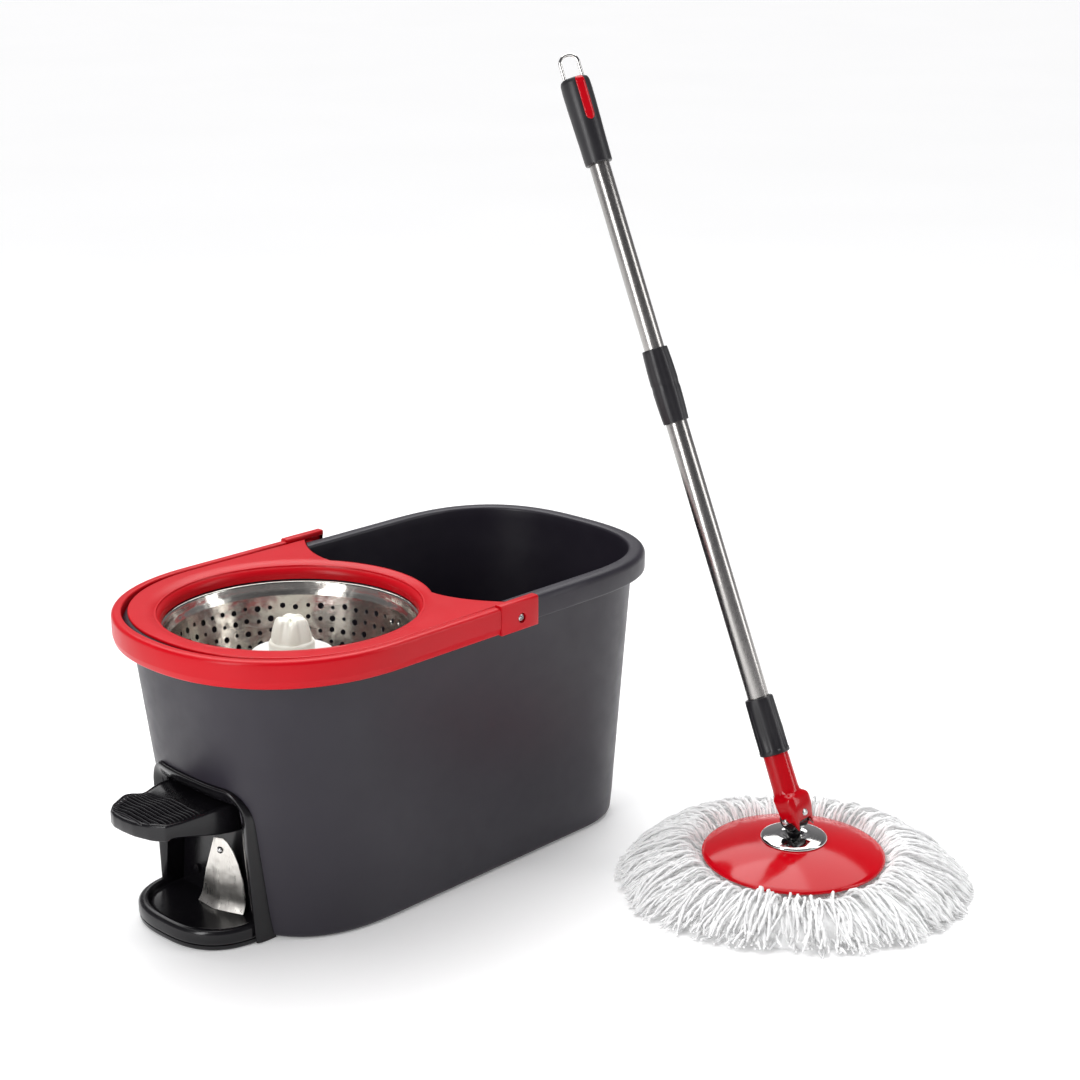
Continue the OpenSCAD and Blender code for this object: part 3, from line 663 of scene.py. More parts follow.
def tray_outline(inset):
    a = np.linspace(1, -1, 49) * math.pi / 2
    x = TRAY_X - (TRAY_REACH - inset) * np.cos(a).clip(0) ** 0.76
    y = (TRAY_HALF - inset) * np.sign(a) * np.abs(np.sin(a)) ** 0.76
    ends = np.array([[TRAY_BACK, TRAY_HALF - inset], [TRAY_BACK, inset - TRAY_HALF]])
    return np.concatenate([ends[:1], np.column_stack([x, y]), ends[1:]]) + [0, TRAY_SHIFT]


def tray_parts():
    """The toe tray: a stepped outer wall, a rolled rim and a sunk floor."""
    edge = [(3, 0), (1.4, 0.3), (0.7, 1.5), (0.5, 4.2), (1.5, 4.7), (0.4, 5.4), (0, 7), (0, 12)]
    edge += [(4.6 - 4.6 * math.cos(a), 13 + 5 * math.sin(a)) for a in np.linspace(0.2, math.pi - 0.3, 11)]
    edge += [(TRAY_RIM + 0.8, 13.2), (TRAY_RIM + 1.8, TRAY_FLOOR + 0.3), (TRAY_RIM + 4, TRAY_FLOOR)]
    return loft([at_height(tray_outline(i), z) for i, z in edge])


piece("housing_arch", [housing_parts()], "bucket", "black_gloss", BLACK, "pedal_housing", crease=50)
piece("housing_tray", [tray_parts()], "bucket", "black_gloss", BLACK, crease=50)
BACK_PLATE = half_prism([(59.9, 4), (50, 86)], CAVITY_BACK, CAVITY_BACK + 3)
piece("housing_back", [BACK_PLATE], "bucket", "black_gloss", BLACK)

EAR = slab(rounded([(CAVITY_BACK + 1, 90, 1), (PEDAL_HINGE[0] + 9, 92, 5), (PEDAL_HINGE[0] + 9, 116, 5),
                    (CAVITY_BACK + 1, 118, 1)]), 0, 3.6, 0.5)
piece("hinge_ears", both_sides(moved(EAR, shift(0, -47.6, 0) @ ALONG_Y)), "bucket", "black_gloss", BLACK)


GUARD_LEFT = ((10, 18), (43, 9), (70, -1.6), (76, -4), (78, -8))
GUARD_RIGHT = ((10, -32), (25, -32), (40, -31), (57, -27), (68, -23), (75, -18.5), (78, -15))


def guard_parts():
    """A folded steel plate, narrow at the top, that flares out at its foot."""
    low, high = TRAY_FLOOR + 0.3, corners("toe_guard")[1][2]
    rings = []
    for z in np.concatenate([np.linspace(low, 24, 9), np.linspace(26, 70, 14), np.linspace(71, high, 8)]):
        left, right = (np.interp(z, *zip(*edge)) for edge in (GUARD_LEFT, GUARD_RIGHT))
        fold = min(-5 - 4 * (z - low) / (high - low), left - 1.5)
        flare = 3.4 * max(0, (22 - z) / 10) ** 1.6
        front = [(-208.5 - 1.5 * t, left + (fold - left) * t) for t in np.linspace(0, 0.9, 4)]
        front += [(-210 + 10 * (fold - y) / (fold + 33), y) for y in np.linspace(fold - 0.6, right, 8)]
        front = np.array(front) - [flare, 0]
        rings.append(at_height(np.concatenate([front, front[::-1] + [0.9, 0]]), z))
    return loft(rings)


piece("toe_plate", [guard_parts()], "bucket", "polished_steel", PRESSED, "toe_guard", crease=50)


RIVET = lathe([(0, 1.9), (1.6, 1.6), (2.8, 0.8), (3.3, 0), (3.3, -0.4), (0, -0.4)], steps=28, closed=False)
RIVET = moved(RIVET, shift(-208.7, -11.5, 67) @ turned(-90, "Y"))
piece("plate_rivets", [RIVET], "bucket", "steel", SCREW_STEEL, "guard_rivets")

PEDAL_TOP = [(-286, 111.4), (-276, 114.2), (-262, 115.8), (-238, 118.2), (-214, 118.5)]
PEDAL_LOW = [(-290, 100), (-276, 99.2), (-271, 100), (-268, 102), (-262, 102.2), (-245, 99), (-226, 94.5),
             (-206, 92)]
PEDAL_PLAN = [(-206, -38.2), (-214, -38.5), (-240, -36.5), (-260, -32, 12), (-272.3, -26.8, 1),
              (-279.5, -13, 14), (-284, 2, 20), (-285, 16, 20), (-284.5, 28, 8), (-281.5, 36.5, 5),
              (-275, 42, 7), (-262, 45.5, 12), (-248, 45.5, 20), (-232, 43.5, 20), (-214, 42), (-206, 42)]
PEDAL_MIDDLE = 3
RIB_GAP, RIB_HALF, RIB_LIFT, RIB_MARGIN = 3.4, 1.2, 2.2, 2.6


def pedal_top(x, y):
    """Height of the pedal's upper face: its far edge dips behind a low hump."""
    far = np.clip((y - 4) / 40, 0, 1)
    hump, dip = 1.2 * np.exp(-((x + 262) / 8) ** 2), 4.5 * np.exp(-((x + 242) / 10) ** 2)
    return np.interp(x, *zip(*PEDAL_TOP)) + far * (hump - dip)


def pedal_parts():
    """The plate: a skirt, a raised edge round the sunk grip face, and a hollow underside."""
    plan = spaced(rounded(PEDAL_PLAN, 3, False), 110)[::-1]

    def ring(inset, rise, low=False, flat=1.0):
        x, y = offset(plan, -inset).T
        x = np.where(plan[:, 0] > -207, plan[:, 0], x)
        y = PEDAL_MIDDLE + (y - PEDAL_MIDDLE) * flat
        return np.column_stack([x, y, (np.interp(x, *zip(*PEDAL_LOW)) if low else pedal_top(x, y)) + rise])

    skirt = ((5, 1.6), (4, 0.5), (1.6, 0), (0.5, 0.7), (0, 2))
    edge = ((0, -2.2), (0.3, -1.1), (0.9, -0.4), (1.7, -0.05), (2.4, 0), (2.8, -0.4), (3.2, -0.7))
    rings = [ring(i, z, True) for i, z in skirt] + [ring(i, z) for i, z in edge]
    rings += [ring(3.4, -0.7, flat=1 - t) for t in np.linspace(0.08, 0.998, 14)]
    under = [ring(5, 1.6, True)]
    for t in (0.25, 0.5, 0.8, 0.998):
        deep = ring(5, 1.6, True, 1 - t)
        deep[:, 2] += (pedal_top(deep[:, 0], deep[:, 1]) - 4 - deep[:, 2]) * min(1, 3 * t)
        under.append(deep)
    return [loft(rings, True, False), loft(under, True, False)]


def rib(x):
    """One slightly wavy grip rib across the pedal, tapering at both ends."""
    line = np.array([p[:2] for p in PEDAL_PLAN])
    near, far = line[:6], line[:6:-1]
    y0 = np.interp(-x, -near[:, 0], near[:, 1]) + RIB_MARGIN
    y1 = np.interp(-x, -far[:, 0], far[:, 1]) - RIB_MARGIN
    if x < -279:
        y0 = np.interp(-x, [279.5, 284], [-11, 4])
    rings, a = [], np.linspace(0, math.pi, 7)
    for t in np.linspace(0, 1, 34):
        y = y0 + (y1 - y0) * t
        at = x + 0.5 * math.sin(y * 0.16 + x * 0.07) + 0.2 * math.sin(y * 0.37 + x * 0.13)
        taper = math.sqrt(max(0.02, 1 - (2 * t - 1) ** 8))
        z = pedal_top(at, y) - 0.9 + (0.2 + RIB_LIFT * np.sin(a)) * taper
        rings.append(np.column_stack([at + RIB_HALF * np.cos(a) * taper, np.full(7, y), z]))
    return loft(rings, False, False)


def pedal_arms():
    """Two arms back to the hinge, its tube and the flange that carries the gear."""
    arm = rounded([(-224, 115, 2), (-190, 112, 6), (-181, 104, 7), (-190, 96, 6), (-224, 97, 1)])
    arm = slab(arm, 0, 4, 0.5)
    hub = lathe(rounded([(3.1, -46), (8, -46, 1), (8, 46, 1), (3.1, 46)]), steps=40)
    flange = lathe(rounded([(3.1, 12), (14, 12, 0.6), (14, 15.9, 0.6), (3.1, 15.9)]), steps=48)
    place = shift(PEDAL_HINGE[0], 0, PEDAL_HINGE[2]) @ turned(-90, "X")
    return [moved(arm, shift(0, y, 0) @ ALONG_Y) for y in (-32, 44)] + [moved(hub, place), moved(flange, place)]


RIBS = [rib(x) for x in np.arange(-280.6, -243, RIB_GAP)]
piece("foot_pedal", pedal_parts() + RIBS + pedal_arms(), "pedal", "black_gloss", BLACK, "pedal", crease=42)


# ---- Basket, disc and hub ----

HOLE_COLUMNS = 56
WALL_ROWS = 4
FLOOR_ROWS = 4
BASKET_FLOOR = 178
BASKET_LINE = [(36, 211.5), (46, BASKET_FLOOR, 5), (92, BASKET_FLOOR, 9), (103.4, 232)]
SHEET = 1.0
CELL = ((0, 0), (0.5, 0), (1, 0), (1, 0.5), (1, 1), (0.5, 1), (0, 1), (0, 0.5))
BASKET_TOP = corners("basket")[1][2]


def basket_sheet():
    """A pressed sheet with real holes: each cell of its grid is a ring of faces round a hole."""
    line = rounded(BASKET_LINE, 8, False)
    run = lengths(line)
    step = math.tau / HOLE_COLUMNS

    def place(s):
        return np.array([np.interp(s, run, line[:, 0]), np.interp(s, run, line[:, 1])])

    def at(s, turn, out):
        dr, dz = place(min(s + 0.5, run[-1])) - place(max(s - 0.5, 0))
        r, z = place(s) + np.array([dz, -dr]) * out / math.hypot(dr, dz)
        return r * math.cos(turn), r * math.sin(turn), z

    wall_start = run[np.argmax((line[:, 0] > 88) & (line[:, 1] > 184))]
    wall_end = run[-1] - 5
    flat = np.flatnonzero(np.abs(line[:, 1] - BASKET_FLOOR) < 0.01)
    floor_start, floor_end = run[flat[0]] + 2.5, run[flat[-1]] - 1
    plain = (np.linspace(0, floor_start, 8), np.linspace(floor_end, wall_start, 8), (wall_end, run[-1]))
    floor_rows = np.linspace(floor_start, floor_end, FLOOR_ROWS + 1)
    wall_rows = np.linspace(wall_start, wall_end, WALL_ROWS + 1)
    rows = [*zip(floor_rows, floor_rows[1:]), *zip(wall_rows, wall_rows[1:])]

    def skin(out):
        """One side of the sheet: its points, its faces and the edges of its holes."""
        points, faces, edges = [], [], []
        for a, b in (pair for band in plain for pair in zip(band, band[1:])):
            for k in range(2 * HOLE_COLUMNS):
                faces.append(tuple(range(len(points), len(points) + 4)))
                points += [at(s, (k + u) * step / 2, out) for s, u in ((a, 0), (a, 1), (b, 1), (b, 0))]
        for row, (s0, s1) in enumerate(rows):
            for k in range(HOLE_COLUMNS):
                base = len(points)
                points += [at(s0 + (s1 - s0) * v, step * (k + u), out) for u, v in CELL]
                if row < FLOOR_ROWS and (k + row) % 2:
                    faces.append(tuple(range(base, base + 8)))
                    continue
                radius = 1.7 if row < FLOOR_ROWS else 2.35 + 0.55 * math.sin(3.7 * k + 2.1 * row)
                s = s0 + (s1 - s0) * (0.5 + 0.09 * math.sin(2.4 * k + row))
                for u, v in CELL:
                    a = math.atan2(v - 0.5, u - 0.5)
                    turn = step * (k + 0.5) + radius * math.cos(a) / place(s)[0]
                    points.append(at(s + radius * math.sin(a), turn, out))
                for i, j in zip(range(8), (1, 2, 3, 4, 5, 6, 7, 0)):
                    faces.append((base + i, base + j, base + 8 + j, base + 8 + i))
                    edges.append((base + 8 + i, base + 8 + j))
        return points, faces, edges

    (inner, faces, edges), outer = skin(0), skin(SHEET)[0]
    count = len(inner)
    faces += [tuple(count + i for i in face[::-1]) for face in faces]
    faces += [(a, b, b + count, a + count) for a, b in edges]
    return np.array(inner + outer) + [*BASKET, 0], faces


def basket_parts():
    rim = [(103.2, 231.5), (104.6, 234.5), (106, 237), (106.3, 241.5), (107.3, BASKET_TOP - 0.4),
           (108.8, BASKET_TOP), (109.8, BASKET_TOP - 1), (109.6, BASKET_TOP - 2.6), (108.6, BASKET_TOP - 2.8),
           (107.4, 238), (107.2, 236), (105.4, 233), (104.2, 231.5)]
    top = [(36.5, 211.8), (35, 212.1), (4.1, 212.1), (4.1, 211), (35, 211), (36, 210.5)]
    return [basket_sheet()] + [lathe(line, BASKET, HOLE_COLUMNS * 2) for line in (rim, top)]


piece("spin_basket", basket_parts(), "basket", "polished_steel", BASKET_STEEL, "basket", crease=45)


def disc_parts():
    z = corners("hub_flange")[0][2]
    line = [(4.1, 0), (34.5, 0, 0.8), (35.5, 2.6, 0.8), (33.8, 3.4, 0.6), (31, 2.2, 1), (22, 2, 1),
            (20, 3, 0.5), (4.1, 3)]
    return [moved(lathe(rounded(line), BASKET), shift(0, 0, z))]


def hub_parts():
    """A collar with a lobed crown whose lobes sharpen toward a notched top."""
    low, high = (corner[2] for corner in corners("basket_hub"))
    collar = [(4, 0), (19.2, 0), (19.5, 1), (19.5, 9.2), (18.8, 10.6), (17.4, 11)]
    crown = [(17.4, 11.3, 0.2), (17.6, 13, 0.8), (17.2, 17, 1.4), (16.2, 21, 1.9), (15, 25, 2.3), (14, 28, 2.6),
             (12.6, 30, 2.6), (10.5, 31, 2.2), (6, 31, 0.9), (0.5, 30.2, 0)]
    a = np.arange(120) * math.tau / 120
    wave = np.tanh(2.2 * np.cos(6 * a)) * 0.5 - 0.5
    notch = np.clip(np.cos(3 * a + 0.6), 0, 1) ** 6
    rings = [polar(r, a, z) for r, z in collar]
    rings += [polar(r + deep * wave, a, z - 3.2 * notch * np.clip((z - 20) / 11, 0, 1)) for r, z, deep in crown]
    points, faces = loft(rings)
    return [(points * [1, 1, (high - low) / 31] + [*BASKET, low], faces)]


piece("hub_disc", disc_parts(), "basket", "hub_plastic", PALE, "hub_flange")
piece("drive_hub", hub_parts(), "basket", "hub_plastic", CREAM, "basket_hub", crease=60)


# ---- Mop head ----

PLATE_R = 80


def dome(r):
    return 43.5 - 14.5 * (r / PLATE_R) ** 2.2


def plate_parts():
    """The domed plate with a seat for the bearing, its rounded edge and the collar below."""
    upper = [(r, dome(r)) for r in np.linspace(29.5, PLATE_R - 2.2, 26)]
    seat = [(12, 41.2), (27, 41.2), (28.2, 41.5), (28.8, 42.1)]
    edge = [(PLATE_R - i, z) for i, z in ((1, 28.9), (0.2, 28.2), (0, 27.4), (0.3, 26.7), (1.2, 26.5))]
    lower = [(r, dome(r) - 2.6) for r in np.linspace(PLATE_R - 3, 12, 14)]
    collar = lathe(rounded([(44, 21), (46.5, 21, 0.8), (46.5, 38), (44, 38)]), HEAD)
    return [lathe(seat + upper + edge + lower, HEAD, 128), collar]


def cap_ring_parts():
    line = [(6.6, 1), (8.5, 1.9), (9.5, 3.6), (12, 4.6), (16, 4.3), (26, 2.9), (28, 2.4), (28.9, 1.6),
            (29, 0.5), (28.2, 0), (26, 1), (12, 1.6), (8, 0.4)]
    return [moved(lathe(line, HEAD), shift(0, 0, corners("bearing_cap")[0][2]))]


piece("head_dome", plate_parts(), "mop_head", "red_gloss", RED_GLOSS, "head_plate", crease=50)
piece("chrome_boss", cap_ring_parts(), "mop_head", "chrome", MIRROR, "bearing_cap", crease=50)

STRANDS = 1290
TUFTS = 96
STRAND_STEPS = 14
FRINGE_R = 156.5
PILE = ((60, 20), (82, 27), (87, 33), (97, 36.5), (112, 32), (130, 23), (145, 14), (157, 5))
FRONT = math.radians(216)


def strand(turn, drift, reach, layer, thick, lift):
    """One twisted yarn: out from under the plate, over the pile and down at its tip."""
    t = np.linspace(0, 1, STRAND_STEPS)
    phase = RNG.uniform(0, 6.3, 3)
    r = 64 + (reach - 64) * t + 1.2 * np.sin(9 * t + phase[0])
    lying = thick + 0.3 + layer * (np.interp(r, *zip(*PILE)) * lift - thick)
    mix = np.clip((r - 80) / 8, 0, 1)
    mix = mix * mix * (3 - 2 * mix)
    z = (14 + 9 * layer) * (1 - mix) + lying * mix + mix * 1.3 * np.sin(11 * t + phase[1])
    z -= 5 * layer * np.clip((t - 0.82) / 0.18, 0, 1) ** 1.5
    angle = turn + drift * t ** 1.3 + t * 0.022 * np.sin(8 * t + phase[2])
    path = polar(np.minimum(r, FRINGE_R), angle, np.maximum(z, thick + 0.15))
    ahead = unit(np.gradient(path, axis=0))
    side = unit(np.cross(ahead, [0, 0, 1]))
    above = np.cross(side, ahead)
    rings = []
    for i in range(STRAND_STEPS):
        a = np.arange(5) * math.tau / 5 + i * 0.9
        radius = thick * (1.12, 0.9, 1.05, 0.88, 1.0)[i % 5] * (1 if i < STRAND_STEPS - 1 else 0.8)
        rings.append(path[i] + np.outer(radius * np.cos(a), side[i]) + np.outer(radius * np.sin(a), above[i]))
    points, faces = loft(rings)
    return points + [*HEAD, 0], faces


def fringe_parts():
    """Loose yarns gathered in uneven tufts, shorter and lower toward the side that FRONT names."""
    tuft_turn = (np.arange(TUFTS) + RNG.uniform(-0.3, 0.3, TUFTS)) * math.tau / TUFTS
    tuft_drift, tuft_reach = RNG.normal(0, 0.05, TUFTS), RNG.normal(0, 3.5, TUFTS)
    out = []
    for k in range(STRANDS):
        tuft, layer = k % TUFTS, RNG.random() ** 0.8
        turn = tuft_turn[tuft] + RNG.normal(0, 0.028)
        toward = math.cos(turn - FRONT)
        reach = 155 - 18 * max(0, toward) ** 2 - 16 * layer * RNG.random() + tuft_reach[tuft]
        reach += RNG.normal(0, 2)
        lift = 1 - 0.1 * toward + RNG.normal(0, 0.05)
        drift = tuft_drift[tuft] + RNG.normal(0, 0.05)
        out.append(strand(turn, drift, reach, layer, RNG.uniform(1.15, 1.65), lift))
    return out


def pile_parts():
    """The matted bed of yarn below the loose strands: a lumpy ring that closes the gaps between them."""
    rings, t = [], np.linspace(0, 1, 13)
    for a in np.arange(180) * math.tau / 180:
        toward = math.cos(a - FRONT)
        edge = 139 - 13 * max(0, toward) ** 2 + 1.5 * math.sin(17 * a) + 1.2 * math.sin(41 * a + 1)
        r = 66 + (edge - 66) * t
        lump = 1 + 0.06 * np.sin(29 * a + 0.05 * r) + 0.05 * np.sin(67 * a + 0.09 * r)
        z = np.interp(r, *zip(*PILE)) * (0.66 - 0.06 * toward) * lump * np.clip((1 - t) * 9, 0, 1) + 0.8
        z = np.minimum(z, np.interp(r, (66, 84, 90), (13, 13, 40)))
        rings.append(polar(np.append(r, (edge - 1, 66)), a, np.append(z, (0.3, 0.3)), HEAD))
    return [loft(rings + rings[:1], True, False)]


piece("yarn_fringe", fringe_parts() + pile_parts(), "mop_head", "microfibre", YARN, "fringe", crease=80)


# ---- Mop handle, made upright over the tilt axis and then leaned ----


YOKE_STEPS = 48


def on_handle(parts):
    return [moved(part, HANDLE) for part in parts]


def squarish(half_x, back, front, bend, z):
    """A rounded-square ring, from -front to +back in Y, at height or heights z."""
    a = np.arange(YOKE_STEPS) * math.tau / YOKE_STEPS
    x = half_x * np.sign(np.cos(a)) * np.abs(np.cos(a)) ** (2 / bend)
    y = np.where(np.sin(a) > 0, back, front) * np.sign(np.sin(a)) * np.abs(np.sin(a)) ** (2 / bend)
    return np.column_stack([x, y, np.broadcast_to(z, YOKE_STEPS)])


def yoke_parts():
    """A square fork with pointed corner tongues that blends into the round neck."""
    rings = []
    a = np.arange(YOKE_STEPS) * math.tau / YOKE_STEPS
    front_corner = np.clip(-np.sin(a), 0, 1) ** 2 * np.cos(a) ** 2 * 4
    for drop in (1.0, 0.72, 0.42, 0.15):
        tongue = 2 - (3.5 + 8.5 * front_corner ** 3) * drop
        rings.append(squarish(13.6 - 1.6 * drop, 4.4 - 1.0 * drop, 13.2 - 1.4 * drop, 5, tongue))
    fork = ((14.2, 4.6, 13.8, 5.5, 6), (14.8, 5.2, 14.2, 5.5, 11), (14.8, 6.4, 14.2, 5.2, 17),
            (14.3, 7.6, 13.8, 4.8, 19.5), (13.2, 9.0, 12.9, 3.8, 21.3), (11.9, 10.6, 12.0, 2.7, 22.6),
            (11.6, 11.4, 11.7, 2.1, 24))
    neck = ((11.5, 28), (11.3, 46), (11.15, 58.6), (9.6, 58.6))
    rings += [squarish(*numbers) for numbers in fork] + [squarish(r, r, r, 2, z) for r, z in neck]
    return [loft(rings)]


def dome_head(radius, height):
    """A small domed rivet head."""
    line = [(0, height), (radius * 0.6, height * 0.86), (radius * 0.92, height * 0.4), (radius, 0),
            (radius, -1.5), (0, -1.5)]
    return lathe(line, steps=28, closed=False)


def pin_parts():
    head, shaft = dome_head(2.9, 0.8), [(0, -13.9), (2.9, -13.9), (2.9, 13.9), (0, 13.9)]
    ends = [moved(head, shift(side * 14.2, 0, 0) @ turned(side * 90, "Y")) for side in (-1, 1)]
    return ends + [moved(lathe(shaft, steps=28, closed=False), turned(90, "Y"))]


def knuckle_parts():
    """The post's black barrel, round-shouldered, with its stem going down into the bearing."""
    line = rounded([(0.4, -9.4), (10.2, -9.4, 2.5), (10.2, 9.4, 2.5), (0.4, 9.4)], 6)
    barrel = moved(lathe(line, steps=56), shift(*TILT) @ turned(90, "Y"))
    stem = lathe(rounded([(0.4, 29), (6, 29, 0.6), (6, 50, 0.1), (7.6, 56, 1), (0.4, 56)]), HEAD, 48)
    return [barrel, stem]


def sleeve_parts():
    """A low sleeve with shallow flutes and thin end bands."""
    line = [(9.7, 58.8), (12.8, 58.8), (13.4, 59.4), (13.5, 62), (13.15, 63), (13.1, 80), (12.8, 100),
            (12.6, 107.6), (12.3, 109), (11.6, 109.5), (9.7, 109.5)]
    return [fluted(line, 0.7, 9, lambda r, z: (z > 62.5) & (z < 107))]


def clip_parts():
    """The long raised push clip on the sleeve's side."""
    outline = rounded([(-4.8, 74, 3.5), (4.8, 74, 3.5), (4.2, 104, 3), (-4.2, 104, 3)])
    points, faces = slab(outline, 11.2, 15.2, 1.2)
    across, along_z, out = points.T
    slope = np.interp(along_z, [74, 88, 104], [0.2, 0.6, -1.6])
    return [(np.column_stack([out + np.where(out > 13, slope, 0), across, along_z]), faces)]


def tube(radius, bore, low, high):
    return lathe(rounded([(bore, low), (radius, low, 0.1), (radius, high, 0.1), (bore, high)], 2), steps=64)


LOCK_LOW, LOCK_HIGH = 359.8, 425.6


def collar_parts():
    """A barrel-shaped twist lock with a waist groove and eight grip flats."""
    low, high = LOCK_LOW, LOCK_HIGH
    line = [(9.75, low + 0.2), (10.9, low)]
    for t in np.linspace(0, 1, 30):
        groove = 0.35 if abs(t - 0.5) < 0.02 else 0
        line.append((11.5 + 1.2 * math.sin(math.pi * t) ** 0.8 - groove, low + (high - low) * t))
    line += [(10.9, high + 0.2), (9.15, high + 0.2), (9.15, high - 2), (9.75, low + 12)]
    return [fluted(line, 0.45, 8, lambda r, z: r > 11.3)]


GRIP_LOW, GRIP_HIGH, TUBE_END = 593.8, 670.5, 664.4
GRIP_LINE = [(0, 11.6), (1, 12.1), (22, 12.5), (50, 13.2), (66, 13.4), (73, 13.1), (75.6, 12.2), (76.7, 10.6)]
INLAY_TURN = math.radians(245)


def grip_radius(z):
    heights, radii = zip(*GRIP_LINE)
    return np.interp(z - GRIP_LOW, heights, radii)


def grip_parts():
    """The grip: a swelling barrel with a bore for the tube and a closed end."""
    line = [(9.05, GRIP_LOW + 0.4), (11, GRIP_LOW)] + [(r, GRIP_LOW + h) for h, r in GRIP_LINE]
    line += [(9, GRIP_HIGH + 0.2), (0.4, GRIP_HIGH + 0.4), (0.4, TUBE_END), (9.05, TUBE_END)]
    soft = [(r, z, 0.15 if 0 < i < len(line) - 4 else 0) for i, (r, z) in enumerate(line)]
    return [lathe(rounded(soft, 2))]


def inlay_parts():
    """A glossy strip let into the grip, with a rounded lower end."""
    rings, low, high, half = [], 631, 670.2, 4.6
    across = np.linspace(-1, 1, 15)
    crown = np.sqrt(np.clip(1 - across ** 6, 0, 1))
    for t in np.linspace(0, 1, 30):
        z = low + (high - low) * t
        width = half * math.sqrt(max(0.001, 1 - max(0, 1 - (z - low) / half) ** 2)) * min(1, 1 - (t - 0.93) * 2)
        angle = INLAY_TURN + across * width / 13
        top = polar(grip_radius(z) - 0.5 + crown, angle, z)
        back = polar(grip_radius(z) - 1.6, angle[::-1], z)
        rings.append(np.concatenate([top, back]))
    return [loft(rings)]


def loop_parts():
    """A bent wire eye: two legs and a half circle."""
    spread, wire, low, high = 8, 1.65, 662, 684
    path = [(spread, z) for z in np.linspace(low, high, 5)]
    path += [(spread * math.cos(a), high + spread * math.sin(a)) for a in np.linspace(0, math.pi, 25)[1:-1]]
    path = np.array(path + [(-spread, z) for z in np.linspace(high, low, 5)])
    a = np.arange(16) * math.tau / 16
    rings = []
    for (x, z), (dx, dz) in zip(path, unit(np.gradient(path, axis=0))):
        rings.append(np.column_stack([x + wire * np.cos(a) * dz, wire * np.sin(a), z - wire * np.cos(a) * dx]))
    return [moved(loft(rings), turned(315, "Z"))]


piece("yoke_fork", on_handle(yoke_parts()), "handle", "red_gloss", RED_GLOSS, "yoke", crease=50)
piece("yoke_pin", on_handle(pin_parts()), "handle", "steel", SCREW_STEEL, "tilt_pin")
FRONT_STUD = moved(dome_head(3.3, 0.8), shift(0, -13.6, 4) @ ALONG_Y)
piece("yoke_stud", on_handle([FRONT_STUD]), "handle", "steel", SCREW_STEEL, "front_stud")
piece("swivel_knuckle", knuckle_parts(), "mop_post", "black_gloss", BLACK, "swivel_post", crease=50)
piece("low_sleeve", on_handle(sleeve_parts()), "handle", "grip_plastic", CHARCOAL, "lower_sleeve")
piece("push_clip", on_handle(clip_parts()), "button", "grip_plastic", CHARCOAL, "sleeve_button")
piece("tube_low", on_handle([tube(9.6, 9.3, 50, 372)]), "handle", "brushed_steel", TUBE_STEEL, "lower_tube")
piece("tube_high", on_handle([tube(9.0, 8.7, 156, 664)]), "upper", "brushed_steel", TUBE_STEEL, "upper_tube")
piece("twist_lock", on_handle(collar_parts()), "collar", "grip_plastic", CHARCOAL, "lock_collar", crease=50)
piece("hand_grip", on_handle(grip_parts()), "upper", "grip_plastic", CHARCOAL, "grip", crease=50)
piece("grip_strip", on_handle(inlay_parts()), "upper", "red_gloss", RED_GLOSS, "grip_inlay", crease=60)
piece("wire_loop", on_handle(loop_parts()), "upper", "chrome", MIRROR, "hang_loop")

# ---- CAD nodes that stay ----

dress(GEAR_WHITE, "sector_gear", "layshaft_pinion", "crown_wheel", "clutch_pinion", "fringe_ring")
dress(FRAME_BLACK, "gear_frame", "lock_cam")
dress(TUB_GREY, "base_cover")
dress(BRONZE, "spindle_bush_upper", "spindle_bush_lower", "layshaft_bushes")
dress(BLACK, "housing_screws")
dress(SCREW_STEEL, "pedal_pin", "return_spring", "cover_screws", "sector_rivets", "layshaft",
      "spindle", "spindle_clip", "post_clip", "head_bearing")

# ---- Floor, light and camera ----

CENTRE = (0.02, -0.1, 0.15)


def floor():
    """A wide pale floor that glows a little, as a white sweep does under studio light."""
    half, z = 400000, -0.4
    square = at_height([(-half, -half), (half, -half), (half, half), (-half, half)], z)
    ob = linked("floor", make_mesh("floor", [(square, [(0, 1, 2, 3)])]))
    look = Look("floor_paper", Roughness=0.6, Specular_IOR_Level=0.25,
                Emission_Color=(1, 1, 1, 1), Emission_Strength=0.10)
    look.colours(look.noise(1.2, 2), (0.3, (0.95, 0.95, 0.95)), (0.7, (0.97, 0.97, 0.97)))
    ob.data.materials.append(look.material)


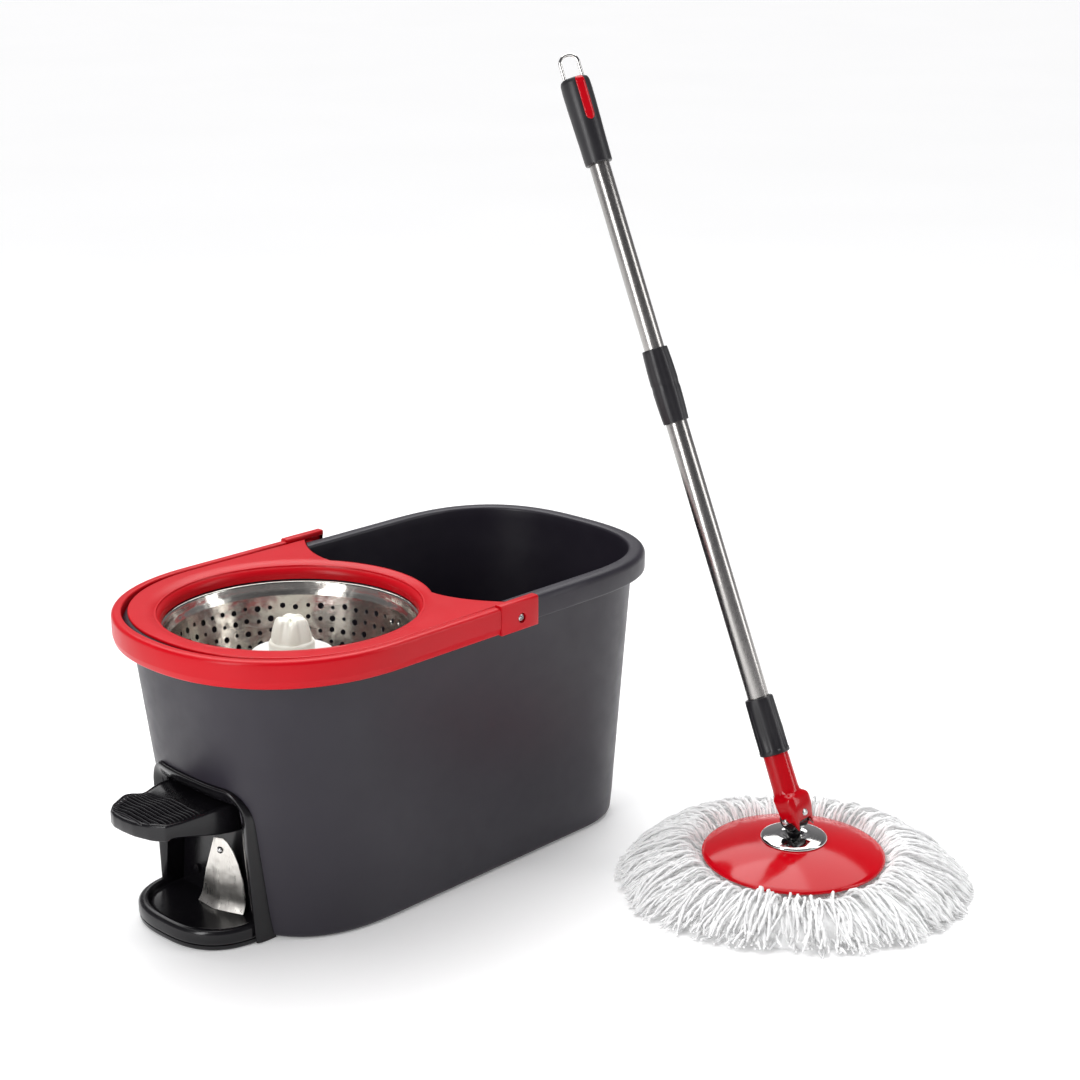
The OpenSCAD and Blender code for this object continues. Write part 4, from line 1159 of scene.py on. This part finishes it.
def lamp(name, place, size, watts):
    """A soft box that faces the object."""
    data = bpy.data.lights.new(name, "AREA")
    data.shape, data.size, data.size_y = "RECTANGLE", size[0], size[1]
    data.energy = watts
    ob = linked(name, data)
    ob.location = place
    ob.rotation_euler = (Vector(CENTRE) - Vector(place)).to_track_quat("-Z", "Y").to_euler()


def sky():
    """Pale studio surroundings, darker toward the top."""
    world = bpy.data.worlds.new("studio")
    world.use_nodes = True
    nodes, links = world.node_tree.nodes, world.node_tree.links
    background = nodes["Background"]
    split = nodes.new("ShaderNodeSeparateXYZ")
    links.new(nodes.new("ShaderNodeTexCoord").outputs["Generated"], split.inputs["Vector"])
    ramp = nodes.new("ShaderNodeValToRGB")
    low, high = ramp.color_ramp.elements
    low.position, low.color = 0.0, (0.55, 0.54, 0.56, 1)
    high.position, high.color = 0.6, (0.16, 0.16, 0.17, 1)
    links.new(split.outputs["Z"], ramp.inputs["Fac"])
    links.new(ramp.outputs["Color"], background.inputs["Color"])
    background.inputs["Strength"].default_value = 0.6
    bpy.context.scene.world = world


def soft_sun():
    """One very broad light from above."""
    data = bpy.data.lights.new("sky_light", "SUN")
    data.energy, data.angle = 2.75, math.radians(75)
    linked("sky_light", data).rotation_euler = Vector((0.25, 0.35, 1)).to_track_quat("Z", "Y").to_euler()


def photo_camera():
    """The photo's camera: its place in metres, and its right and up directions."""
    place = (-1.17203, -1.29610, 0.81990)
    right, up = Vector((0.68894, -0.72482, 0)), Vector((0.21131, 0.20084, 0.95656))
    data = bpy.data.cameras.new("camera")
    data.lens, data.sensor_width, data.clip_end = 69.245, 36, 1000
    camera = linked("camera", data)
    turn = Matrix((right, up, right.cross(up))).transposed().to_4x4()
    camera.matrix_world = Matrix.Translation(place) @ turn
    bpy.context.scene.camera = camera


floor()
sky()
soft_sun()
lamp("overhead", (0.55, 0.65, 1.9), (1.5, 1.2), 14)
lamp("key_left", (-1.6, -0.2, 0.9), (0.45, 1.3), 15)
lamp("side_right", (1.1, -1.5, 1.0), (0.5, 1.5), 9)
bpy.context.scene.view_settings.view_transform = "Standard"
photo_camera()
